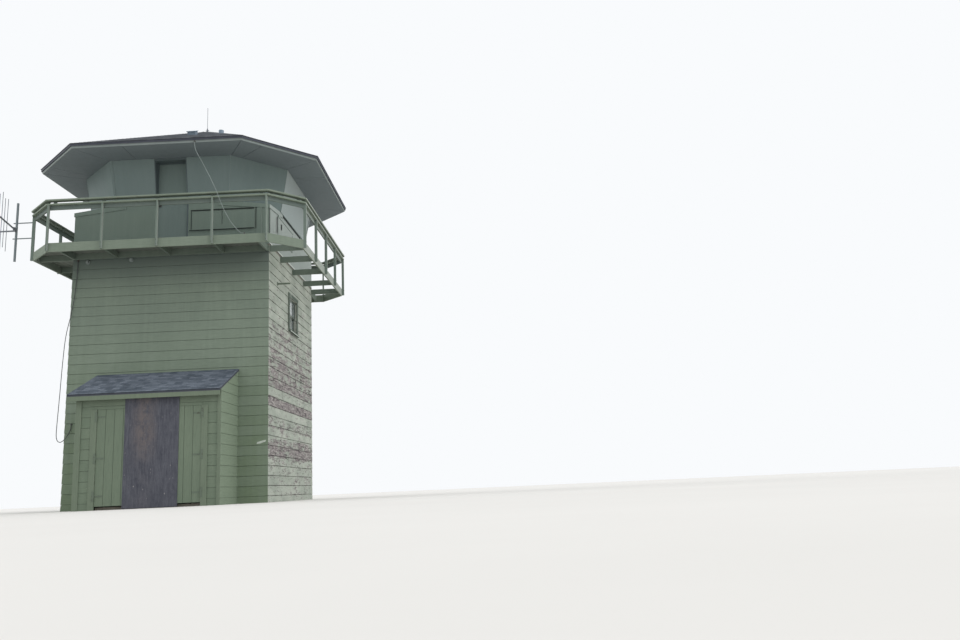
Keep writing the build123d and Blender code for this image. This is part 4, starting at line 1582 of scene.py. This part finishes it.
@dataclass
class ShingleField:
    """Courses of three-tab shingles on one flat slope."""

    exposure: float = 0.127
    tab_width: float = 0.165
    tab_gap: float = 0.006
    overlap: float = 0.045
    thickness: float = 0.006
    lift: float = 0.009
    eave_overhang: float = 0.012
    seat: float = 0.0005
    uneven: float = 0.05
    tab_faces: int = 6

    def lay(self, name: str, start: Vector, end: Vector, top: Vector,
            chance: random.Random) -> bpy.types.Object:
        """Lay courses from the eave up to the height of one point.

        Args:
            name: The piece's name.
            start: Left end of the eave on the slope's surface, seen from outside.
            end: Right end of it.
            top: A point at the slope's upper edge.
            chance: Source of the tabs' tones and of the courses' shifts.

        Returns:
            The untrimmed courses as one piece, with a tone for each tab.
        """
        along = (end - start).normalized()
        rise = (top - start) - along * (top - start).dot(along)
        up = rise.normalized()
        normal = along.cross(up)
        frame = Matrix((along, up, normal)).transposed().to_4x4()
        span = (end - start).length
        pitch = self.tab_width + self.tab_gap
        tab = self.tab(name)
        strip = modified(tab, "ARRAY", count=math.ceil(span / pitch) + 2, use_relative_offset=False,
                         use_constant_offset=True, constant_offset_displace=(pitch, 0, 0))
        courses = []
        for row in range(math.ceil(rise.length / self.exposure)):
            shift = (row % 2) * pitch / 2 + chance.uniform(-self.uneven, self.uneven)
            place = frame @ Matrix.Translation((-pitch + shift, row * self.exposure - self.eave_overhang, 0))
            courses.append(copied(strip, name, Matrix.Translation(start) @ place))
        bpy.data.objects.remove(strip)
        piece = joined(name, courses)
        self.tone(piece, chance)
        return piece

    def tab(self, name: str) -> bpy.types.Object:
        """Add one tab at the origin, its lower edge lifted over the course below.

        Args:
            name: The piece's name.

        Returns:
            The tab.
        """
        length = self.exposure + self.overlap
        tab = block(name, (0, 0, 0), (self.tab_width, length, self.thickness))

        def lifted(place: Vector) -> Vector:
            """Return a corner's place, raised the more the lower it lies on the slope."""
            share = 1 - place.y / length
            return Vector((place.x, place.y, place.z + self.seat + self.lift * share))

        return reshaped(tab, lifted)

    def tone(self, piece: bpy.types.Object, chance: random.Random) -> None:
        """Store one tone for all faces of each tab.

        Args:
            piece: The joined courses, with the same count of faces for each tab.
            chance: Source of the tones.
        """
        faces = len(piece.data.polygons)
        tones = [chance.random() for _ in range(faces // self.tab_faces + 1)]
        layer = piece.data.attributes.new("tone", "FLOAT", "FACE")
        layer.data.foreach_set("value", [tones[i // self.tab_faces] for i in range(faces)])


@dataclass
class Roof:
    """Eight-sided hip roof: soffit panels, fascia, shingles, hip caps, vents and the whip."""

    courses: ShingleField = field(default_factory=ShingleField)
    seam: float = 0.010
    seam_offsets: tuple[float, float] = (0.85, 0.50)
    socket_height: float = 0.11
    socket_radius: float = 0.026
    socket_sides: int = 20
    collar_height: float = 0.035
    collar_share: float = 0.6
    bolt_down: float = 0.03
    bolt_reach: float = 0.055
    bolt_radius: float = 0.006
    vent_edge: float = 0.005
    cap_width: float = 0.130
    cap_length: float = 0.190
    cap_thickness: float = 0.005
    cap_foot_lift: float = 0.014
    cap_head_lift: float = 0.006
    cap_drop: float = 0.01
    seed: int = 11

    def build(self) -> None:
        """Build and dress the roof."""
        softened("fascia", "green_trim", SAWN_EDGE, FASCIA)
        dress_nodes(ROOF_EDGE, "roof_slopes")
        self.soffit()
        self.shingles()
        self.fittings()

    def corners(self) -> tuple[list[Vector], Vector]:
        """Find the eight-sided slopes.

        Returns:
            The eight eave corners on their surface, and the point where the hips would meet.
        """
        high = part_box("roof_slopes")[1]
        half = high.x
        edge = [corner.co for corner in bpy.data.objects["roof_slopes"].data.vertices
                if abs(corner.co.y + half) < TOUCH]
        side = max(place.x for place in edge)
        z = max(place.z for place in edge)
        plan = [(-side, -half), (side, -half), (half, -side), (half, side), (side, half), (-side, half),
                (-half, side), (-half, -side)]
        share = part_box("roof_peak")[1].x / half
        rise = (high.z - z) / (1 - share)
        return [Vector((x, y, z)) for x, y in plan], Vector((0, 0, z + rise))

    def past_hip(self, corner: Vector, other: Vector) -> Vector:
        """Return the level direction that leads from a slope past one of its hips.

        Args:
            corner: The hip's eave corner.
            other: The slope's other eave corner.

        Returns:
            The direction square to the hip in plan.
        """
        ray = Vector((corner.x, corner.y, 0)).normalized()
        away = Vector((corner.x - other.x, corner.y - other.y, 0))
        return (away - ray * away.dot(ray)).normalized()

    def soffit(self) -> None:
        """Close the eaves with panels that meet in open seams on the hips."""
        slab = node_copy("soffit", "soffit_slab")
        corners = self.corners()[0]
        panels = []
        for index, first in enumerate(corners):
            last = corners[(index + 1) % len(corners)]
            panel = copied(slab, f"soffit_panel_{index}")
            for corner, other in ((first, last), (last, first)):
                away = self.past_hip(corner, other)
                cut(panel, -away * self.seam / 2, away)
            middle = (first + last) / 2
            side = (last - first).normalized()
            twin = copied(panel, f"soffit_panel_{index}_half")
            seam_at = Vector((middle.x, middle.y, 0)) - side * self.seam_offsets[index % 2]
            cut(panel, seam_at - side * self.seam / 2, side)
            cut(twin, seam_at + side * self.seam / 2, -side)
            panels += [panel, twin]
        bpy.data.objects.remove(slab)
        piece = dress(joined("soffit_panels", panels), SOFFIT)
        hold(rounded(piece, FINE_EDGE, 1), "soffit_board", "soffit")

    def shingles(self) -> None:
        """Lay the shingles on the eight slopes and cap the hips."""
        corners, peak = self.corners()
        chance = random.Random(self.seed)
        kinds = []
        for index in (0, 1):
            start, end = corners[index:index + 2]
            piece = self.courses.lay(f"roof_shingles_{index}", start, end, peak, chance)
            for corner, other in ((start, end), (end, start)):
                cut(piece, (0, 0, 0), self.past_hip(corner, other))
            kinds.append(piece)
        slopes = [copied(kind, f"roof_shingles_{2 * turn + index}_laid", quarter(turn))
                  for turn in range(4) for index, kind in enumerate(kinds)]
        for kind in kinds:
            bpy.data.objects.remove(kind)
        hold(dress(joined("roof_shingles", slopes), ROOF_SHINGLE), "shingles")
        self.hip_caps(corners, peak, chance)

    def hip_caps(self, corners: list[Vector], peak: Vector, chance: random.Random) -> None:
        """Fold a row of caps over each hip.

        Args:
            corners: The eave corners on the slopes' surface.
            peak: The point where the hips meet.
            chance: Source of the caps' tones.
        """
        caps = []
        for index, corner in enumerate(corners):
            up = (peak - corner).normalized()
            sides = []
            for other in (corners[index - 1], corners[(index + 1) % len(corners)]):
                flat = other - corner
                sides.append((flat - up * flat.dot(up)).normalized())
            normal = -(sides[0] + sides[1]).normalized()
            if normal.z < 0:
                normal = -normal
            count = int((peak - corner).length / self.courses.exposure) - 1
            for row in range(count):
                foot = corner + up * (row * self.courses.exposure - self.cap_drop)
                caps.append(self.cap(foot, up, sides, normal))
        piece = joined("hip_caps", caps)
        self.courses.tone(piece, chance)
        for index, corner in enumerate(corners):
            after = corners[(index + 1) % len(corners)]
            out = Vector((corner.x + after.x, corner.y + after.y, 0)).normalized()
            cut(piece, corner + out * self.courses.eave_overhang, out)
        hold(dress(piece, ROOF_SHINGLE), "shingles")

    def cap(self, foot: Vector, up: Vector, sides: list[Vector], normal: Vector) -> bpy.types.Object:
        """Return one folded cap.

        Args:
            foot: The middle of its lower edge.
            up: Direction up the hip.
            sides: Directions down the two slopes, square to the hip.
            normal: Direction out of the roof at the hip.

        Returns:
            A closed piece of two leaves.
        """
        halves = []
        for side in sides:
            out = side * self.cap_width
            head = foot + up * self.cap_length
            rows = []
            for height in (0.0, self.cap_thickness):
                low = normal * (self.cap_foot_lift + height)
                high = normal * (self.cap_head_lift + height)
                rows.append([foot + low, foot + out + low, head + out + high, head + high])
            halves.append(leaning_block("cap", *rows))
        return joined("cap", halves)

    def fittings(self) -> None:
        """Dress the peak, the vents and the whip."""
        softened("roof_peak", "shingles", WORN_EDGE, GALVANISED_SKY)
        softened("roof_vent", "vent_metal", self.vent_edge, GALVANISED_SKY)
        dress_nodes(GALVANISED_SKY, "vent_pipe")
        dress_nodes(ALUMINIUM, "whip_antenna")
        self.whip_base()

    def whip_base(self) -> None:
        """Stand the whip in a short socket with a clamp bolt at its foot."""
        low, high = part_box("whip_antenna")
        x = (low.x + high.x) / 2
        y = (low.y + high.y) / 2
        rim = low.z + self.socket_height
        bolt_z = rim - self.bolt_down
        socket = rod("whip_socket", (x, y, low.z), (x, y, rim), self.socket_radius, self.socket_sides)
        collar = rod("whip_socket", (x, y, rim), (x, y, rim + self.collar_height),
                     self.socket_radius * self.collar_share, self.socket_sides)
        bolt = rod("whip_socket", (x - self.bolt_reach, y, bolt_z), (x + self.bolt_reach, y, bolt_z),
                   self.bolt_radius, 8)
        piece = rounded(joined("whip_socket", [socket, collar, bolt]), FINE_EDGE)
        hold(dress(piece, ALUMINIUM), "aluminium")


@dataclass
class ShaftWindow:
    """Casing, sashes and glass of the window in the right wall."""

    highlight_width: float = 0.016
    sill_height: float = 0.04

    def build(self) -> None:
        """Build and dress the window."""
        softened("window_casing", "green_trim", SAWN_EDGE, CASING, CASING_HIGHLIGHT)
        softened("window_sashes", "window_wood", SAWN_EDGE, WINDOW_WOOD)
        dress_nodes(GLASS, "window_glass")
        low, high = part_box("window_casing")
        # The pale strips along the casing's sill and left side are a painted highlight.
        sill = inlay(1, (low.y, high.y), (low.z, low.z + self.highlight_width), -high.x)
        side = inlay(1, (low.y, low.y + self.highlight_width), (low.z + self.sill_height, high.z), -high.x)
        hold(dress(joined("casing_highlight_strips", [sill, side]), PALE_EDGE), "green_trim")


@dataclass
class Store:
    """Lean-to store: clad walls, board doors, the nailed sheet and a shingled roof."""

    siding: LapSiding = field(default_factory=LapSiding)
    courses: ShingleField = field(default_factory=ShingleField)
    door_boards: int = 6
    door_clearance: float = 0.003
    board_gap: float = 0.004
    board_thickness: float = 0.025
    brace_inset: float = 0.25
    brace_half: float = 0.07
    hinge_edge: float = 0.001
    wall_thickness: float = 0.09
    roof_depth: float = 0.04
    eave_top: float = 2.55
    wall_clearance: float = 0.004
    nail_radius: float = 0.006
    nail_proud: float = 0.002
    nail_margin: tuple[float, float] = (0.03, 0.04)
    sheet_nails: tuple[int, int] = (5, 9)
    seed: int = 23

    def build(self) -> None:
        """Build and dress the store."""
        self.front()
        self.sides()
        softened("store_trim", "green_trim", SAWN_EDGE, STORE_TRIM, STORE_EDGE)
        softened("store_fascia", "green_trim", SAWN_EDGE, STORE_TRIM, STORE_EDGE)
        self.door("store_door_left")
        self.door("store_door_right")
        softened("store_hinges", "steel", self.hinge_edge, PAINTED_STEEL)
        self.sheet()
        self.roof()

    def front(self) -> None:
        """Clad the two strips beside the doors and the header over them."""
        low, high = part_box("store_front_wall")
        door_low, door_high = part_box("store_door_left")
        left = door_low.x - self.door_clearance
        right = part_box("store_door_right")[1].x + self.door_clearance
        head = door_high.z + self.door_clearance
        depth = self.siding.depth
        pieces = []
        for start, end, bottom, trim_start, trim_end in ((low.x, left, 0.0, depth, 0.0),
                                                         (right, high.x, 0.0, 0.0, depth),
                                                         (left, right, head, 0.0, 0.0)):
            boards = self.siding.boards("store_strip", Vector((start, low.y, 0)), Vector((end, low.y, 0)),
                                        bottom, high.z, False)
            backing = block("store_backing", (start + trim_start, low.y + depth, bottom),
                            (end - trim_end, high.y, high.z))
            pieces += [dress(boards, STORE_SIDING), dress(backing, SIDING_GAP_SHADE)]
        hold(joined("store_front_clad", pieces), "green_siding", "store_front_wall")

    def sides(self) -> None:
        """Clad the two side walls and cut them under the roof's slope."""
        low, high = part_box("store_side_walls")
        roof_low, roof_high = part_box("store_roof")
        slope = Vector((0, roof_high.y - roof_low.y, (roof_high.z - roof_low.z) - self.roof_depth))
        normal = Vector((0, -slope.z, slope.y)).normalized()
        under = Vector((0, roof_low.y, roof_low.z))
        pieces = []
        for x, way in ((low.x, -1), (high.x, 1)):
            front = Vector((x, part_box("store_front_wall")[0].y, 0))
            back = Vector((x, high.y, 0))
            start, end = (back, front) if way < 0 else (front, back)
            boards = dress(self.siding.boards("store_side", start, end, 0.0, high.z, False), STORE_SIDING)
            inner = x - way * self.siding.depth
            far = x - way * self.wall_thickness
            backing = block("store_side_backing", (min(inner, far), low.y, 0),
                            (max(inner, far), high.y, high.z))
            pieces += [boards, dress(backing, SIDING_GAP_SHADE)]
        piece = cut(joined("store_sides_clad", pieces), under, normal)
        hold(piece, "green_siding", "store_side_walls")

    def door(self, node: str) -> None:
        """Build one leaf of upright boards.

        Args:
            node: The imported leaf.
        """
        low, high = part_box(node)
        pitch = (high.x - low.x + self.board_gap) / self.door_boards
        back = low.y + self.board_thickness
        boards = []
        for index in range(self.door_boards):
            x = low.x + index * pitch
            boards.append(block(node, (x, low.y, low.z), (x + pitch - self.board_gap, back, high.z)))
        for z in (low.z + self.brace_inset, (low.z + high.z) / 2, high.z - self.brace_inset):
            boards.append(block(node, (low.x, back, z - self.brace_half),
                                (high.x, high.y, z + self.brace_half)))
        piece = dress(joined(node + "_boards", boards), DOOR, DOOR_EDGE)
        hold(rounded(piece, SAWN_EDGE), "green_siding", node)

    def sheet(self) -> None:
        """Nail the plywood sheet over both leaves."""
        softened("door_sheet", "bare_plywood", FINE_EDGE, PLYWOOD)
        low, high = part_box("door_sheet")
        across, up = self.sheet_nails
        aside, above = self.nail_margin
        nails = []
        for i in range(across):
            for j in range(up):
                if 0 < i < across - 1 and 0 < j < up - 1:
                    continue
                x = low.x + aside + (high.x - low.x - 2 * aside) * i / (across - 1)
                z = low.z + above + (high.z - low.z - 2 * above) * j / (up - 1)
                nails.append(rod("sheet_nails", (x, low.y + TOUCH, z), (x, low.y - self.nail_proud, z),
                                 self.nail_radius, 8))
        hold(dress(joined("sheet_nails", nails), STEEL), "steel")

    def roof(self) -> None:
        """Shingle the store's roof."""
        dress_nodes(ROOF_EDGE, "store_roof")
        low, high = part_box("store_roof")
        start = Vector((low.x, low.y, self.eave_top))
        end = Vector((high.x, low.y, self.eave_top))
        top = Vector((low.x, high.y, high.z))
        piece = self.courses.lay("store_shingles", start, end, top, random.Random(self.seed))
        cut(piece, start, (-1, 0, 0))
        cut(piece, end, (1, 0, 0))
        cut(piece, top - Vector((0, self.wall_clearance, 0)), (0, 1, 0))
        hold(dress(piece, SHINGLE), "shingles")


@dataclass
class SideAntenna:
    """Mast, arms, boom and elements at the left of the catwalk."""

    def build(self) -> None:
        """Dress the antenna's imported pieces."""
        dress_nodes(MAST, "antenna_mast")
        dress_nodes(ALUMINIUM, "antenna_yagi")
        dress_nodes(STEEL, "cord_clips")


@dataclass
class HangingCord:
    """A wire or cable that hangs from its upper clip and goes back to the tower."""

    name: str
    node: str
    slot: str
    finish: Sheath
    diameter: float
    length: float
    points: tuple[Point, ...]
    round_steps: int = 3
    long_steps: int = 8
    order: int = 3

    def build(self) -> None:
        """Draw the cord as one smooth curve."""
        data = bpy.data.curves.new(self.name, "CURVE")
        data.dimensions = "3D"
        data.bevel_depth = self.diameter / 2
        data.bevel_resolution = self.round_steps
        data.resolution_u = self.long_steps
        data.use_fill_caps = True
        spline = data.splines.new("NURBS")
        spline.points.add(len(self.points) - 1)
        for control, place in zip(spline.points, self.points):
            control.co = (*place, 1.0)
        spline.order_u = self.order
        spline.use_endpoint_u = True
        cord = bpy.data.objects.new(self.name, data)
        bpy.context.scene.collection.objects.link(cord)
        cord.data.materials.append(self.finish.material())
        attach(cord, BODY)
        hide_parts(self.node)
        LOG.info("%s: %d points", self.name, len(self.points))


# The wire from its clip on the fascia down to the railing's foot
WIRE_ROUTE: tuple[Point, ...] = (
    (0.930, -3.569, 8.560), (0.936, -3.577, 8.435), (0.982, -3.584, 8.300), (1.052, -3.586, 8.168),
    (1.130, -3.584, 8.025), (1.204, -3.580, 7.880), (1.276, -3.573, 7.732), (1.343, -3.565, 7.592),
    (1.408, -3.555, 7.446), (1.468, -3.542, 7.300), (1.520, -3.527, 7.160), (1.570, -3.509, 7.018),
    (1.624, -3.487, 6.878), (1.684, -3.461, 6.744), (1.749, -3.431, 6.618), (1.818, -3.401, 6.508),
    (1.886, -3.373, 6.418), (1.946, -3.346, 6.348), (2.002, -3.319, 6.298), (2.062, -3.317, 6.295))

# The cable from the top of the shaft's left corner, down past the store's roof and back up to its clip
CABLE_ROUTE: tuple[Point, ...] = (
    (-2.298, -2.458, 6.040), (-2.299, -2.462, 5.820), (-2.306, -2.466, 5.588), (-2.318, -2.470, 5.360),
    (-2.336, -2.474, 5.130), (-2.361, -2.479, 4.906), (-2.394, -2.484, 4.690), (-2.434, -2.489, 4.480),
    (-2.476, -2.493, 4.262), (-2.502, -2.496, 4.036), (-2.516, -2.498, 3.806), (-2.527, -2.500, 3.578),
    (-2.537, -2.502, 3.344), (-2.545, -2.503, 3.114), (-2.552, -2.504, 2.880), (-2.560, -2.506, 2.650),
    (-2.568, -2.508, 2.424), (-2.577, -2.510, 2.196), (-2.585, -2.512, 1.964), (-2.590, -2.513, 1.766),
    (-2.564, -2.512, 1.646), (-2.496, -2.508, 1.598), (-2.426, -2.500, 1.634), (-2.362, -2.489, 1.712),
    (-2.308, -2.474, 1.808), (-2.271, -2.461, 1.908), (-2.268, -2.458, 2.010))


# The view and its light


@dataclass
class Studio:
    """Camera, pale floor, soft light and pale background."""

    place: Point = (7.7702, -22.4236, 0.1391)
    yaw: float = -0.5653
    pitch: float = 11.2085
    roll: float = -2.5589
    lens: float = 31.556
    sensor: float = 36.0
    reach: float = 500.0
    floor_size: float = 240.0
    floor_colour: Colour = (208, 205, 200)
    floor_step: int = 8
    floor_roughness: float = 0.9
    floor_cloud: Cloud = Cloud(EVEN, 0.35, 5.0, 0.6)
    sky_colour: Colour = (249, 251, 253)
    light_colour: Colour = (246, 249, 252)
    sky_light: float = 1.10
    sun_width: float = 40.0
    suns: tuple[tuple[Point, float], ...] = (((16.0, -5.0, 13.0), 1.0), ((-14.0, 2.0, 5.0), 0.8))

    def build(self) -> None:
        """Set up the view, the floor, the light and the background."""
        bpy.context.scene.view_settings.view_transform = "Standard"
        self.camera()
        self.floor()
        self.light()
        self.sky()

    def camera(self) -> None:
        """Stand the camera low in front of the tower, looking up."""
        yaw, pitch, roll = (math.radians(value) for value in (self.yaw, self.pitch, self.roll))
        ahead = Vector((math.sin(yaw) * math.cos(pitch), math.cos(yaw) * math.cos(pitch), math.sin(pitch)))
        right = Vector((math.cos(yaw), -math.sin(yaw), 0))
        up = right.cross(ahead)
        right_rolled = right * math.cos(roll) + up * math.sin(roll)
        up_rolled = up * math.cos(roll) - right * math.sin(roll)
        data = bpy.data.cameras.new("view")
        data.lens = self.lens
        data.sensor_width = self.sensor
        data.clip_end = self.reach
        camera = bpy.data.objects.new("view", data)
        turn = Matrix((right_rolled, up_rolled, -ahead)).transposed().to_4x4()
        camera.matrix_world = Matrix.Translation(self.place) @ turn
        bpy.context.scene.collection.objects.link(camera)
        bpy.context.scene.camera = camera

    def floor(self) -> None:
        """Lay a wide pale floor."""
        deselect()
        bpy.ops.mesh.primitive_plane_add(size=self.floor_size, location=(0, 0, 0))
        plane = settled("floor")
        sheet = NodeSheet("floor")
        cloud = sheet.noise(self.floor_cloud)
        colour = sheet.mixed(cloud, linear(self.floor_colour),
                             linear(paler(self.floor_colour, self.floor_step)))
        plane.data.materials.append(sheet.finished(colour, self.floor_roughness))

    def light(self) -> None:
        """Add a large soft light from the right and a weaker one from the left."""
        for place, strength in self.suns:
            data = bpy.data.lights.new("soft_sun", "SUN")
            data.energy = strength
            data.angle = math.radians(self.sun_width)
            lamp = bpy.data.objects.new("soft_sun", data)
            lamp.rotation_euler = Vector(place).to_track_quat("Z", "Y").to_euler()
            bpy.context.scene.collection.objects.link(lamp)

    def sky(self) -> None:
        """Make a pale background that gives an even light."""
        world = bpy.data.worlds.new("sky")
        bpy.context.scene.world = world
        world.use_nodes = True
        nodes = world.node_tree.nodes
        links = world.node_tree.links
        nodes.clear()
        path = nodes.new("ShaderNodeLightPath")
        shown = nodes.new("ShaderNodeMath")
        shown.operation = "MAXIMUM"
        also = nodes.new("ShaderNodeMath")
        also.operation = "MAXIMUM"
        links.new(path.outputs["Is Camera Ray"], shown.inputs[0])
        links.new(path.outputs["Is Glossy Ray"], shown.inputs[1])
        links.new(shown.outputs["Value"], also.inputs[0])
        links.new(path.outputs["Is Transmission Ray"], also.inputs[1])
        seen = nodes.new("ShaderNodeBackground")
        seen.inputs["Color"].default_value = linear(self.sky_colour)
        seen.inputs["Strength"].default_value = 1.0
        cast = nodes.new("ShaderNodeBackground")
        cast.inputs["Color"].default_value = linear(self.light_colour)
        cast.inputs["Strength"].default_value = self.sky_light
        mix = nodes.new("ShaderNodeMixShader")
        links.new(also.outputs["Value"], mix.inputs["Fac"])
        links.new(cast.outputs["Background"], mix.inputs[1])
        links.new(seen.outputs["Background"], mix.inputs[2])
        links.new(mix.outputs["Shader"], nodes.new("ShaderNodeOutputWorld").inputs["Surface"])


def main() -> None:
    """Build the tower's looks in order."""
    logging.basicConfig(level=logging.INFO, format="%(name)s %(message)s")
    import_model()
    Studio().build()
    HangingCord("eave_wire", "hanging_wire", "pale_wire", PALE_SHEATH, 0.012, 2.61, WIRE_ROUTE).build()
    HangingCord("corner_cable", "hanging_cable", "dark_cable", DARK_SHEATH, 0.016, 5.07, CABLE_ROUTE).build()
    for assembly in (ShaftWalls(), WallFittings(), Catwalk(), Railing(), Cab(), Roof(), ShaftWindow(),
                     Store(), SideAntenna()):
        assembly.build()
        LOG.info("%s is done", type(assembly).__name__)


if __name__ == "__main__":
    main()
